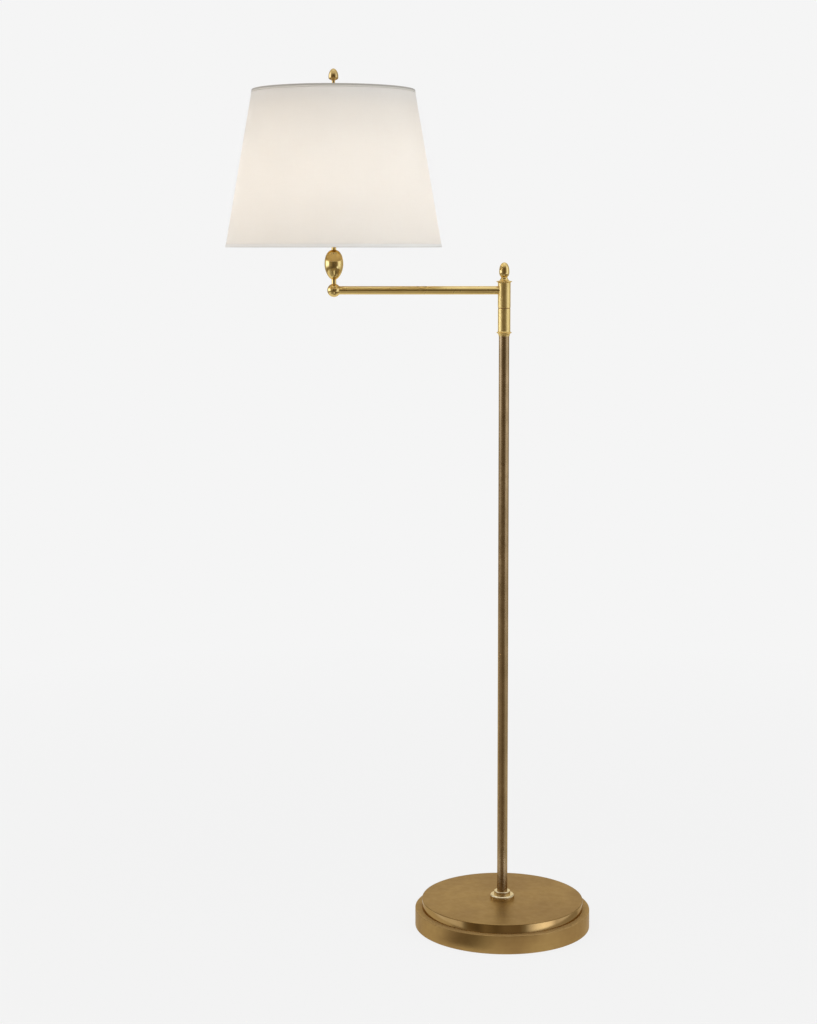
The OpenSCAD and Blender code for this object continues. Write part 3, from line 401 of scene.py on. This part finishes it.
FINISHES = {
    "foot": brass("foot_brushed_brass", BRUSHED_LIGHT, BRUSHED_DARK, (0.38, 0.46),
                  lines=900.0, line_depth=0.000002, line_tone=0.45, clouds=14.0,
                  uneven=0.45, drift=9.0, edge=tone(0.85, 0.76, 0.62),
                  smooth_wall=(RING_TOP, PLATE_TOP, 0.15)),
    "collar": brass("collar_pale_brass", tone(0.82, 0.68, 0.42), tone(0.70, 0.56, 0.31),
                    (0.19, 0.26), lines=900.0, line_tone=0.18, uneven=0.35),
    "column": brass("column_aged_brass", AGED_LIGHT, AGED_DARK, (0.24, 0.34),
                    lines=1800.0, line_tone=0.12, clouds=30.0, uneven=0.55,
                    edge=tone(0.60, 0.52, 0.40)),
    "swivel": brass("swivel_satin_brass", tone(0.82, 0.61, 0.23), tone(0.70, 0.49, 0.16),
                    (0.33, 0.39), lines=900.0, line_tone=0.18, uneven=0.35),
    "knob": polished("knob_polished_brass", (0, 0, 0)),
    "arm": polished("arm_satin_brass", (0, 0, ARM_HEIGHT), turn=(0, math.radians(90), 0),
                    rough=(0.27, 0.33), line_tone=0.10),
    "riser": polished("riser_polished_brass", (SHADE_X, 0, 0)),
    # painted shade: the shade's knob takes a darker copy of the polished brass
    "finial": brass("finial_shaded_brass", tone(0.62, 0.44, 0.18), tone(0.50, 0.34, 0.12),
                    (0.10, 0.17), centre=(SHADE_X, 0, 0), lines=900.0, line_tone=0.18),
    "harp": polished("harp_brass", (SHADE_X, 0, 0), rough=(0.20, 0.32)),
    "inner_brass": polished("holder_brass", (SHADE_X, 0, 0), rough=(0.22, 0.34)),
    "steel": plain_grain("zinc_plated_steel", tone(0.62, 0.62, 0.60), tone(0.45, 0.45, 0.43),
                         (0.30, 0.48), 500.0, 0.00001, metallic=1.0),
    "iron": plain_grain("cast_iron", tone(0.060, 0.058, 0.056), tone(0.028, 0.027, 0.027),
                        (0.55, 0.75), 420.0, 0.0002, metallic=0.6),
    "felt": plain_grain("felt", tone(0.045, 0.060, 0.040), tone(0.022, 0.032, 0.020),
                        (0.90, 1.0), 2200.0, 0.0004, Sheen_Weight=0.5),
    "rubber": plain_grain("rubber", tone(0.030, 0.029, 0.028), tone(0.018, 0.018, 0.017),
                          (0.45, 0.65), 1500.0, 0.00002),
    "fibre": plain_grain("vulcanised_fibre", tone(0.13, 0.050, 0.032), tone(0.08, 0.03, 0.02),
                         (0.5, 0.7), 1800.0, 0.00003),
    "cardboard": plain_grain("cardboard_liner", tone(0.40, 0.30, 0.19), tone(0.30, 0.21, 0.13),
                             (0.8, 0.95), 1300.0, 0.00004),
    "phenolic": plain_grain("phenolic", tone(0.040, 0.026, 0.019), tone(0.022, 0.014, 0.011),
                            (0.18, 0.32), 700.0, 0.000006, Coat_Weight=0.3),
    "glass": plain_grain("opal_glass", tone(0.93, 0.92, 0.89), tone(0.88, 0.87, 0.83),
                         (0.12, 0.20), 60.0, 0.00001, Coat_Weight=0.5, Coat_Roughness=0.05),
    "wire": plain_grain("lacquered_wire", tone(0.72, 0.69, 0.62), tone(0.62, 0.58, 0.50),
                        (0.30, 0.45), 900.0, 0.00002),
}

NODE_FINISH = {
    "felt_pad": "felt", "base_weight": "iron", "base_shell": "foot", "cord_bushing": "rubber",
    "base_washer": "steel", "base_nut": "steel", "base_nipple": "steel",
    "column_plug": "steel", "foot_collar": "collar", "column": "column",
    "neck_ring": "swivel", "swivel_sleeve": "swivel", "swivel_spindle": "steel",
    "stop_pin": "steel", "fibre_washer": "fibre", "disc_spring": "steel",
    "spindle_nut": "steel", "swivel_head": "swivel", "head_cap": "swivel",
    "head_knob": "knob", "arm_tube": "arm", "elbow_ball": "riser", "riser_pipe": "riser",
    "egg_ornament": "riser", "jam_nut": "riser", "harp_saddle": "harp", "harp": "harp",
    "ferrule_left": "harp", "ferrule_right": "harp", "holder_cap": "inner_brass",
    "holder_shell": "inner_brass", "holder_liner": "cardboard", "holder_core": "phenolic",
    "terminal_screws": "inner_brass", "screw_shell": "inner_brass",
    "centre_contact": "inner_brass", "switch_key": "phenolic", "bulb_cap": "steel",
    "bulb_glass": "glass", "shade_spider": "wire", "shade_bottom_ring": "wire",
    "shade_finial": "finial",
}
for node, finish in NODE_FINISH.items():
    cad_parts[node].data.materials.clear()
    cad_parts[node].data.materials.append(FINISHES[finish])


# ---------------------------------------------------------------- surfaces

def grid_faces(rows, columns, wrap_rows=False, wrap_columns=False):
    """Quads between neighbours on a grid of points numbered row by row."""
    i = np.arange(rows if wrap_rows else rows - 1)[:, None]
    j = np.arange(columns if wrap_columns else columns - 1)[None, :]
    up, on = (i + 1) % rows, (j + 1) % columns
    corners = (i * columns + j, i * columns + on, up * columns + on, up * columns + j)
    return np.stack(np.broadcast_arrays(*corners), axis=-1).reshape(-1, 4)


def put_piece(name, points, faces, materials, face_material=None, uv=None, ends=()):
    """A smooth mesh piece from arrays: points (n, 3), faces (m, 4), uv (m, 4, 2). Ends are
    faces with more corners that close it."""
    mesh = bpy.data.meshes.new(name)
    mesh.from_pydata(points.tolist(), [], faces.tolist() + list(ends))
    for material in materials:
        mesh.materials.append(material)
    if face_material is not None:
        mesh.polygons.foreach_set("material_index", face_material.astype(np.int32))
    mesh.polygons.foreach_set("use_smooth", np.ones(len(mesh.polygons), bool))
    if uv is not None:
        layer = mesh.uv_layers.new(name="cloth")
        layer.data.foreach_set("uv", uv.astype(np.float32).ravel())
    mesh.update()
    piece = bpy.data.objects.new(name, mesh)
    bpy.context.scene.collection.objects.link(piece)
    return piece


SHADE_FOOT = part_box("bottom_hem")[0].z
SHADE_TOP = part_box("top_hem")[1].z
FOOT_RADIUS = (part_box("bottom_hem")[1].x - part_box("bottom_hem")[0].x) / 2
TOP_RADIUS = (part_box("top_hem")[1].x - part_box("top_hem")[0].x) / 2
# the box of a hem ends where the cone is widest, at its lower edge
HEM_WIDTH = 5.0 * MM
CONE = (FOOT_RADIUS - TOP_RADIUS) / (SHADE_TOP - HEM_WIDTH - SHADE_FOOT)


def shade_radius(z):
    """Radius of the shade's outer face at a height: a straight cone."""
    return FOOT_RADIUS - CONE * (z - SHADE_FOOT)


SLANT = math.hypot(1.0, CONE)       # length up the cloth per metre of height
LAP = 7.0 * MM                      # how far the two ends of the cloth overlap, at the foot
MEAN_RADIUS = (FOOT_RADIUS + TOP_RADIUS) / 2
# V near which the cloth lets less light through; 20 mm further down, the foot darkens less
CLOTH_ENDS = (SHADE_FOOT * SLANT - 20.0 * MM, SHADE_TOP * SLANT)
# U up to which, and from which on, the cloth lies double
LAPS = (LAP * MEAN_RADIUS / FOOT_RADIUS, 2 * math.pi * MEAN_RADIUS)

LINEN_CLOTH = cloth("linen", tone(0.965, 0.935, 0.895), tone(0.90, 0.855, 0.80), 1700.0, 0.5,
                    0.45, 0.00012, ends=CLOTH_ENDS, laps=LAPS)
# painted shade: the lining's face is painted dark for the dim inside of the shade, while the
# light it lets through keeps the pale colour passed
SHADED_LINING = cloth("lining_painted_shade", tone(0.11, 0.075, 0.033), tone(0.09, 0.06, 0.027), 900.0, 0.1,
               0.45, 0.00001, ends=CLOTH_ENDS, passed=tone(0.95, 0.92, 0.87), laps=LAPS)
# painted shade: each tape's rolled edge takes a darker third colour than the rest of the tape
TOP_TAPE = cloth("top_hem_tape", tone(0.80, 0.76, 0.70), tone(0.72, 0.67, 0.60), 2100.0, 0.3,
                 0.06, 0.00010, roll_shade=(1.8 * MM, 2.6 * MM, tone(0.42, 0.39, 0.35)))
BOTTOM_TAPE = cloth("bottom_hem_tape", tone(0.96, 0.94, 0.91), tone(0.90, 0.87, 0.83), 2100.0,
                    0.3, 0.08, 0.00010, roll_shade=(4.2 * MM, 5.0 * MM, tone(0.66, 0.62, 0.59)))


def make_linen():
    """The laminate: a cone sheet whose two ends overlap behind the lamp. Across the sheet runs
    a closed loop (outer face up, inner face down); the column angle a goes from the seam once
    round and 7 mm on. The first end lies a sheet's thickness further in, and eases out over
    as much again: drop = (t + gap) * smooth((2 d - a) / d)."""
    thick, gap, sunk = 0.42 * MM, 0.03 * MM, 0.40 * MM
    rows, columns = 60, 480
    lap = LAP / FOOT_RADIUS
    a = np.linspace(0.0, 2 * math.pi + lap, columns)
    ease = np.clip((2 * lap - a) / lap, 0.0, 1.0)
    drop = (thick + gap) * ease * ease * (3 - 2 * ease)
    z = np.linspace(SHADE_FOOT + 0.3 * MM, SHADE_TOP - 0.3 * MM, rows)
    height = np.concatenate([z, z[::-1]])
    inset = np.concatenate([np.full(rows, sunk), np.full(rows, sunk + thick)])
    radius = (shade_radius(height) - inset)[:, None] - drop[None, :]
    turn = a[None, :] + math.pi / 2
    points = np.stack([SHADE_X + radius * np.cos(turn), radius * np.sin(turn),
                       np.broadcast_to(height[:, None], radius.shape)], axis=-1)
    faces = grid_faces(2 * rows, columns, wrap_rows=True)
    k = np.arange(rows - 1)
    first, last = 0, columns - 1
    caps = [np.stack([k * columns + c, (k + 1) * columns + c,
                      (2 * rows - 2 - k) * columns + c, (2 * rows - 1 - k) * columns + c],
                     axis=-1)[:, ::step] for c, step in ((first, 1), (last, -1))]
    faces = np.concatenate([faces] + caps)
    # flat cloth coordinate: distance round at mid height, and distance up the slant
    flat = np.stack([np.broadcast_to(a * MEAN_RADIUS, radius.shape),
                     np.broadcast_to((height * SLANT)[:, None], radius.shape)], axis=-1)
    uv = flat.reshape(-1, 2)[faces]
    row_of = faces[:, 0] // columns
    inner = ((row_of >= rows) & (row_of < 2 * rows - 1)).astype(np.int32)
    return put_piece("shade_linen", points.reshape(-1, 3), faces, [LINEN_CLOTH, SHADED_LINING],
                     inner, uv)


def make_hem(name, node, edge, inward, material):
    """Folded tape round an edge of the shade: a rounded loop in (inset, height) that runs up
    the outside, rolls over the ring wire and tucks in behind it, carried round the axis.
    inward is +1 where the shade lies above the edge and -1 where it lies below."""
    fold = np.array([(0.00, 5.00), (0.00, 3.2), (0.00, 1.6), (0.05, 0.75), (0.30, 0.25),
                     (0.80, 0.02), (1.60, 0.00), (2.60, 0.00), (3.60, 0.05), (4.40, 0.45),
                     (4.85, 1.20), (4.90, 2.00), (4.60, 2.90), (3.90, 3.45), (2.90, 3.60),
                     (2.00, 3.60), (2.00, 3.35), (2.90, 3.33), (3.75, 3.20), (4.35, 2.75),
                     (4.60, 2.00), (4.55, 1.30), (4.20, 0.72), (3.50, 0.35), (2.60, 0.28),
                     (1.60, 0.28), (0.95, 0.30), (0.50, 0.50), (0.33, 0.90), (0.30, 1.60),
                     (0.30, 3.2), (0.30, 4.97)]) * MM
    columns = 360
    a = np.arange(columns) * 2 * math.pi / columns
    height = edge + inward * fold[:, 1]
    # the tape's outer edge wanders a little, and it puckers over the wire
    wander = 0.06 * MM * np.sin(9 * a + 1.0) + 0.05 * MM * np.sin(23 * a)
    free = np.clip((fold[:, 1] - 3.2 * MM) / (1.8 * MM), 0.0, 1.0) * (fold[:, 0] < 1 * MM)
    pucker = 0.03 * MM * np.sin(131 * a) * np.sin(7 * a + 0.4)
    rolled = np.clip(1.0 - fold[:, 1] / (1.2 * MM), 0.0, 1.0)
    z = height[:, None] + inward * free[:, None] * (wander[None, :] - 0.06 * MM)
    radius = shade_radius(height)[:, None] - fold[:, 0][:, None] \
        - np.abs(rolled[:, None] * pucker[None, :])
    points = np.stack([SHADE_X + radius * np.cos(a), radius * np.sin(a), z], axis=-1)
    faces = grid_faces(len(fold), columns, wrap_rows=True, wrap_columns=True)
    if inward > 0:                  # the other tape is upside down, and so faces out already
        faces = faces[:, ::-1]
    run = np.concatenate([[0.0], np.cumsum(np.linalg.norm(np.diff(fold, axis=0), axis=1))])
    i, j = faces // columns, faces % columns
    seam = (j.max(axis=1) - j.min(axis=1) > 1)[:, None] & (j == 0)
    u = (j + columns * seam) * (2 * math.pi / columns) * FOOT_RADIUS
    piece = put_piece(name, points.reshape(-1, 3), faces, [material],
                      uv=np.stack([u, run[i]], axis=-1))
    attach(piece, "arm")
    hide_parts(node)
    return piece


def swell(widest, middle, reach, fullness, start, end):
    """Outline of a rounded swelling, r = R cos(a)^(2/n) and z = h sin(a)^(2/n) from its widest
    place, for a between two angles in degrees: rows of (r, z)."""
    a = np.radians(np.linspace(start, end, 48))
    return np.column_stack([widest * np.cos(a) ** (2 / fullness),
                            middle + reach * np.sin(a) ** (2 / fullness)])


def turned_piece(name, outline, x, finish, bored=False):
    """An outline of (r, z) rows, from the foot up, carried round the upright axis at x. A bored
    piece has an outline that closes on itself; any other is closed by its two end discs."""
    columns = 160
    turn = np.arange(columns) * 2 * math.pi / columns
    radius, z = outline[:, :1], outline[:, 1:]
    points = np.stack([x + radius * np.cos(turn), radius * np.sin(turn),
                       np.broadcast_to(z, (len(z), columns))], axis=-1)
    top = (len(z) - 1) * columns
    ends = () if bored else (list(range(columns))[::-1], list(range(top, top + columns)))
    piece = put_piece(name, points.reshape(-1, 3),
                      grid_faces(len(z), columns, wrap_rows=bored, wrap_columns=True),
                      [FINISHES[finish]], ends=ends)
    piece.data.set_sharp_from_angle(angle=math.radians(35))
    return piece


def make_egg():
    """The large egg with its bore: widest at 0.52 of its height, fuller above than below."""
    low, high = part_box("egg_ornament")
    widest = (high.x - low.x) / 2
    middle = low.z + 0.52 * (high.z - low.z)
    pipe_low, pipe_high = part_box("riser_pipe")
    bore = (pipe_high.x - pipe_low.x) / 2 + 0.05 * MM
    below = swell(widest, middle, low.z - middle, 1.85, 90, 0)
    above = swell(widest, middle, high.z - middle, 2.25, 0, 90)[1:]
    outline = np.concatenate([below, above])
    outline = outline[outline[:, 0] > bore + 0.1 * MM]
    foot = np.interp(bore, below[:, 0], below[:, 1])
    top = np.interp(bore, above[::-1, 0], above[::-1, 1])
    outline = np.concatenate([[(bore, foot)], outline, [(bore, top)]])
    return turned_piece("large_egg", outline, SHADE_X, "riser", bored=True)


def make_knob():
    """The egg knob on the cap, with its short foot and the stud that screws into the cap."""
    low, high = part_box("head_knob")
    widest, foot, ledge = (high.x - low.x) / 2, low.z + 5.0 * MM, low.z + 6.2 * MM
    middle = foot + 0.44 * (high.z - foot)
    foot_radius, stud_radius = 0.68 * widest, 2.0 * MM
    outline = np.concatenate([
        [(stud_radius, low.z), (stud_radius, foot), (foot_radius, foot), (foot_radius, ledge)],
        swell(widest, middle, ledge - middle, 2.4, 58, 0),
        swell(widest, middle, high.z - middle, 2.15, 2, 89.9)])
    return turned_piece("egg_knob", outline, 0.0, "knob")


def make_finial():
    """The shade's knob: a flange with a rounded edge, a waist that runs up into a slim neck, a
    bud that is widest at 0.3 of its height, and the bore for the harp's stud."""
    low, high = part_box("shade_finial")
    widest = (high.x - low.x) / 2
    hub, bore, waist, neck = low.z, 2.05 * MM, 4.2 * MM, 2.5 * MM
    bud_height = 17.5 * MM
    flange, bud = widest - 0.4 * MM, high.z - bud_height
    middle = bud + 0.3 * bud_height
    a = np.radians(np.linspace(0.0, 90.0, 12))
    outline = np.concatenate([
        [(bore, hub + 9.0 * MM), (bore, hub), (flange, hub)],
        np.column_stack([flange - (1 - np.cos(a)) * MM, hub + (1 + np.sin(a)) * MM]),
        [(waist, hub + 2.0 * MM)],
        np.column_stack([neck + (waist - neck) * (1 - np.sin(a)),
                         hub + (10.0 + 6.0 * np.sin(a)) * MM]),
        [(neck, bud - 1.0 * MM)],
        swell(widest, middle, bud - middle, 3.2, 74, 0),
        swell(widest, middle, high.z - middle, 1.9, 2, 89.9)])
    return turned_piece("shade_knob", outline, SHADE_X, "finial")


for turned, node in ((make_egg(), "egg_ornament"), (make_knob(), "head_knob"),
                     (make_finial(), "shade_finial")):
    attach(turned, "arm")
    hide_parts(node)
linen = make_linen()
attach(linen, "arm")
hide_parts("shade_panel")
top_tape = make_hem("top_tape", "top_hem", SHADE_TOP, -1, TOP_TAPE)
bottom_tape = make_hem("bottom_tape", "bottom_hem", SHADE_FOOT, 1, BOTTOM_TAPE)


# ---------------------------------------------------------------- studio

BACKDROP = 0.913                    # level of the room as the camera and reflections see it
ROOM_LIGHT = 0.52                   # level of the room as light
MIDDLE, COLUMN = (-0.13, 0.0), (0.0, 0.0)               # axes that the cards stand round


def make_card(name, points, faces, shade_material):
    """A studio card or flag that only reflections see."""
    mesh = bpy.data.meshes.new(name)
    mesh.from_pydata(points, [], faces)
    mesh.materials.append(shade_material)
    card = bpy.data.objects.new(name, mesh)
    bpy.context.scene.collection.objects.link(card)
    card.visible_camera = card.visible_diffuse = card.visible_shadow = False
    card.visible_transmission = False


def card_tone(level):
    """Colour of a card at a level of light: the bright ones are a little cooler, the dark
    ones brown."""
    cool = min(max((level - 0.8) / 0.5, 0.0), 1.0)
    brown = min(max((0.40 - level) / 0.15, 0.0), 1.0)
    return (level * (1.0 + 0.15 * brown), level * (1.0 + 0.10 * cool - 0.06 * brown),
            level * (1.0 + 0.40 * cool - 0.30 * brown))


def card_glow(name, centre, levels, span, fade, flat):
    """Light that changes round an upright axis: levels are (azimuth, level) pairs, degrees
    from straight towards the camera and positive to the right. The card fades out over 4
    degrees at its two ends, and over a length at both ends of its span, which is a height,
    or a distance from the axis where the card lies flat."""
    material, s, out = new_material(name)
    place = s.vector("SUBTRACT", s.add("ShaderNodeTexCoord").outputs["Object"],
                     (centre[0], centre[1], 0.0))
    x, y, z = s.split(place)
    azimuth = s.math("ARCTAN2", x, s.math("MULTIPLY", y, -1.0))
    turn = s.math("ADD", s.math("DIVIDE", azimuth, 2 * math.pi), 0.5)
    ramp = s.add("ShaderNodeValToRGB", {0: turn})
    brightest = 3.0
    stops = [(levels[0][0] - 4.0, levels[0][1], 0.0)] + [(a, v, 1.0) for a, v in levels] \
        + [(levels[-1][0] + 4.0, levels[-1][1], 0.0)]
    elements = ramp.color_ramp.elements
    while len(elements) < len(stops):
        elements.new(1.0)
    for element, (a, level, shown) in zip(elements, stops):
        element.position = a / 360.0 + 0.5
        element.color = tuple(c / brightest for c in card_tone(level)) + (shown,)
    along = s.vector("LENGTH", s.join(x, y, 0.0)) if flat else z
    rise = s.remap(along, span[0], span[0] + fade[0])
    drop = s.remap(along, span[1], span[1] - fade[1])
    shown = s.math("MULTIPLY", ramp.outputs["Alpha"], s.math("MULTIPLY", rise, drop))
    glow = s.add("ShaderNodeEmission", {"Color": ramp.outputs["Color"], "Strength": brightest})
    clear = s.add("ShaderNodeBsdfTransparent")
    mix = s.add("ShaderNodeMixShader", {0: shown, 1: clear.outputs[0], 2: glow.outputs[0]})
    s.tree.links.new(mix.outputs[0], out.inputs["Surface"])
    return material


def arc_card(name, centre, levels, edges, fade=(0.001, 0.001)):
    """Card bent round an upright axis, with the light of card_glow on it. Its two edges are
    (radius, height) pairs: at one radius it stands, at one height it lies flat."""
    a = np.radians(np.linspace(levels[0][0] - 4.0, levels[-1][0] + 4.0, 96))
    points = np.concatenate([
        np.column_stack([centre[0] + radius * np.sin(a), centre[1] - radius * np.cos(a),
                         np.full(len(a), height)]) for radius, height in edges])
    flat = edges[0][1] == edges[1][1]
    span = [edge[0 if flat else 1] for edge in edges]
    make_card(name, points.tolist(), grid_faces(2, len(a)).tolist(),
              card_glow(name, centre, levels, span, fade, flat))


def overhead_card(centre, half, height, level):
    """Square card that lies over the lamp like the face of a softbox."""
    x, y = centre
    corners = [(x - half, y - half, height), (x + half, y - half, height),
               (x + half, y + half, height), (x - half, y + half, height)]
    material, s, out = new_material("overhead_card")
    glow = s.add("ShaderNodeEmission", {"Color": card_tone(level) + (1.0,), "Strength": 1.0})
    s.tree.links.new(glow.outputs[0], out.inputs["Surface"])
    make_card("overhead_card", corners, [(0, 1, 2, 3)], material)


def seen_mask(sheet):
    """1 where the camera sees a surface, also by reflection or through glass, and 0 where it
    only lights others."""
    path = sheet.add("ShaderNodeLightPath").outputs
    return sheet.math("MAXIMUM", path["Is Transmission Ray"],
                      sheet.math("MAXIMUM", path["Is Camera Ray"], path["Is Glossy Ray"]))


def make_world():
    """The room: pale to the camera and in reflections, and much dimmer as light."""
    world = bpy.data.worlds.new("studio")
    world.use_nodes = True
    world.node_tree.nodes.clear()
    s = Sheet(world.node_tree)
    seen = s.add("ShaderNodeBackground", {"Color": grey(BACKDROP), "Strength": 1.0})
    light = s.add("ShaderNodeBackground", {"Color": grey(1.0), "Strength": ROOM_LIGHT})
    mix = s.add("ShaderNodeMixShader",
                {0: seen_mask(s), 1: light.outputs[0], 2: seen.outputs[0]})
    s.add("ShaderNodeOutputWorld", {"Surface": mix.outputs[0]})
    bpy.context.scene.world = world


def make_floor():
    """Pale floor that meets the backdrop: as the camera and reflections see it, most of it is
    the backdrop's own level, and all of it far from the lamp."""
    mesh = bpy.data.meshes.new("floor")
    half, low = 14.0, -0.0002       # just under the felt, so that the two never coincide
    corners = [(-half, -half, low), (half, -half, low), (half, half, low), (-half, half, low)]
    mesh.from_pydata(corners, [], [(0, 1, 2, 3)])
    material, s, out = new_material("pale_floor")
    place = s.add("ShaderNodeTexCoord").outputs["Object"]
    far = s.remap(s.vector("LENGTH", place), 0.6, 2.2)
    plain = s.add("ShaderNodeBsdfDiffuse", {"Color": grey(0.82)})
    glow = s.add("ShaderNodeEmission", {"Color": grey(BACKDROP), "Strength": 1.0})
    share = s.math("MULTIPLY", seen_mask(s), s.remap(far, 0.0, 1.0, 0.92, 1.0))
    mix = s.add("ShaderNodeMixShader", {0: share, 1: plain.outputs[0], 2: glow.outputs[0]})
    s.tree.links.new(mix.outputs[0], out.inputs["Surface"])
    mesh.materials.append(material)
    floor = bpy.data.objects.new("floor", mesh)
    bpy.context.scene.collection.objects.link(floor)


def add_softbox(name, place, target, width, height, power, colour=(1.0, 1.0, 1.0)):
    """A soft area lamp that faces a point, hidden from the camera."""
    data = bpy.data.lights.new(name, "AREA")
    data.shape, data.size, data.size_y = "RECTANGLE", width, height
    data.energy, data.color = power, colour
    lamp = bpy.data.objects.new(name, data)
    lamp.location = place
    aim = np.array(target, float) - np.array(place, float)
    lamp.rotation_euler = (math.acos(-aim[2] / np.linalg.norm(aim)), 0.0,
                           math.atan2(aim[1], aim[0]) - math.pi / 2)
    lamp.visible_camera = lamp.visible_glossy = False
    bpy.context.scene.collection.objects.link(lamp)


def add_bulb_light():
    """The bulb's own glow on the inside of the shade: a soft lamp twice as wide as its glass."""
    low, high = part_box("bulb_glass")
    glass_radius = (high.x - low.x) / 2
    data = bpy.data.lights.new("bulb_light", "POINT")
    data.energy, data.color = 3.3, (1.0, 0.995, 0.99)
    data.shadow_soft_size = 2.0 * glass_radius
    lamp = bpy.data.objects.new("bulb_light", data)
    lamp.location = (SHADE_X, 0.0, high.z - 2.5 * glass_radius)
    lamp.visible_camera = lamp.visible_glossy = False
    bpy.context.scene.collection.objects.link(lamp)


bpy.context.scene.view_settings.view_transform = "Standard"
make_camera()
make_world()
make_floor()
arc_card("room_card", MIDDLE,
         [(-150, 0.45), (-100, 0.40), (-74, 0.36), (-50, 0.33), (-24, 0.21), (-14, 0.10),
          (6, 0.12), (28, 0.16), (38, 0.24), (48, 0.42), (60, 0.66), (90, 0.66), (110, 0.5),
          (150, 0.5)],
         [(2.6, 0.0), (2.6, 3.6)], fade=(0.02, 1.4))
arc_card("left_card", MIDDLE, [(-118, 1.0), (-108, 2.1), (-72, 2.1), (-60, 0.95)],
         [(2.5, 0.40), (2.5, 3.6)], fade=(0.5, 1.4))
arc_card("right_card", MIDDLE,
         [(50, 0.6), (60, 1.15), (84, 1.2), (98, 0.9), (112, 0.6)],
         [(2.5, 0.0), (2.5, 3.6)], fade=(0.6, 1.4))
# what only the column below its swivel reflects: dim on the left, a bright strip on the right
arc_card("low_left_card", MIDDLE,
         [(-112, 0.25), (-72, 0.22), (-47, 0.17), (-22, 0.11)],
         [(2.45, 0.0), (2.45, 0.58)], fade=(0.01, 0.22))
arc_card("low_right_card", MIDDLE, [(34, 0.35), (42, 1.4), (54, 1.4), (62, 0.8)],
         [(2.45, 0.0), (2.45, 0.62)], fade=(0.25, 0.25))
arc_card("dark_floor_card", MIDDLE,
         [(-72, 0.65), (-54, 0.41), (-39, 0.27), (-25, 0.25), (-11, 0.27), (10, 0.26),
          (30, 0.20), (45, 0.19), (60, 0.20), (76, 0.24), (94, 0.26), (120, 0.4)],
         [(1.42, 0.004), (2.62, 0.004)], fade=(0.15, 0.02))
NEAR_LEVELS = [(-100, 0.32), (-74, 0.32), (-43, 0.29), (-23, 0.20), (0, 0.15), (23, 0.22),
               (43, 0.38), (64, 0.66), (83, 0.60), (100, 0.55)]
arc_card("left_floor_card", MIDDLE, [(-80, 0.5), (-54, 0.41), (-14, 0.15)],
         [(0.50, 0.004), (1.5, 0.004)], fade=(0.05, 0.02))
arc_card("right_floor_card", MIDDLE, [(14, 0.11), (45, 0.15), (76, 0.24), (94, 0.3)],
         [(0.50, 0.004), (1.5, 0.004)], fade=(0.05, 0.02))
arc_card("low_card", COLUMN, NEAR_LEVELS, [(0.40, 0.002), (0.40, 0.44)],
         fade=(0.002, 0.12))
arc_card("near_floor_card", COLUMN, [(-62, 0.5)] + NEAR_LEVELS[2:],
         [(0.22, 0.003), (0.40, 0.003)], fade=(0.01, 0.001))
arc_card("foot_card", COLUMN,
         [(-97, 0.66), (-79, 1.15), (-69, 1.3), (-59, 1.1), (-50, 1.15), (-43, 1.05),
          (-39, 0.40), (-35, 0.22), (-26, 0.15), (-18, 0.27), (-8, 0.18), (0, 0.28),
          (14, 0.27), (19, 0.45), (24, 1.2), (31, 2.0), (38, 2.4), (46, 2.3), (53, 1.2),
          (62, 1.35), (72, 1.3), (95, 0.70)],
         [(0.19, 0.025), (0.19, 0.043)], fade=(0.002, 0.002))
arc_card("ring_floor_card", COLUMN, [(-54, 0.8), (-40, 0.20), (-27, 0.10), (-12, 0.7)],
         [(0.142, 0.003), (0.22, 0.003)], fade=(0.01, 0.001))
overhead_card((-0.13, -0.2), 1.1, 3.7, 1.15)
LAMP_AIM = (-0.1, 0.0, 0.8)
add_softbox("right_softbox", (2.0, -1.7, 1.3), LAMP_AIM, 0.9, 2.2, 23.5, (0.96, 0.99, 1.0))
add_softbox("left_softbox", (-2.4, -0.9, 1.2), LAMP_AIM, 1.2, 2.2, 16.0, (1.0, 0.93, 0.82))
add_softbox("top_softbox", (-0.1, -0.4, 3.2), LAMP_AIM, 2.0, 1.4, 13.0)
add_bulb_light()
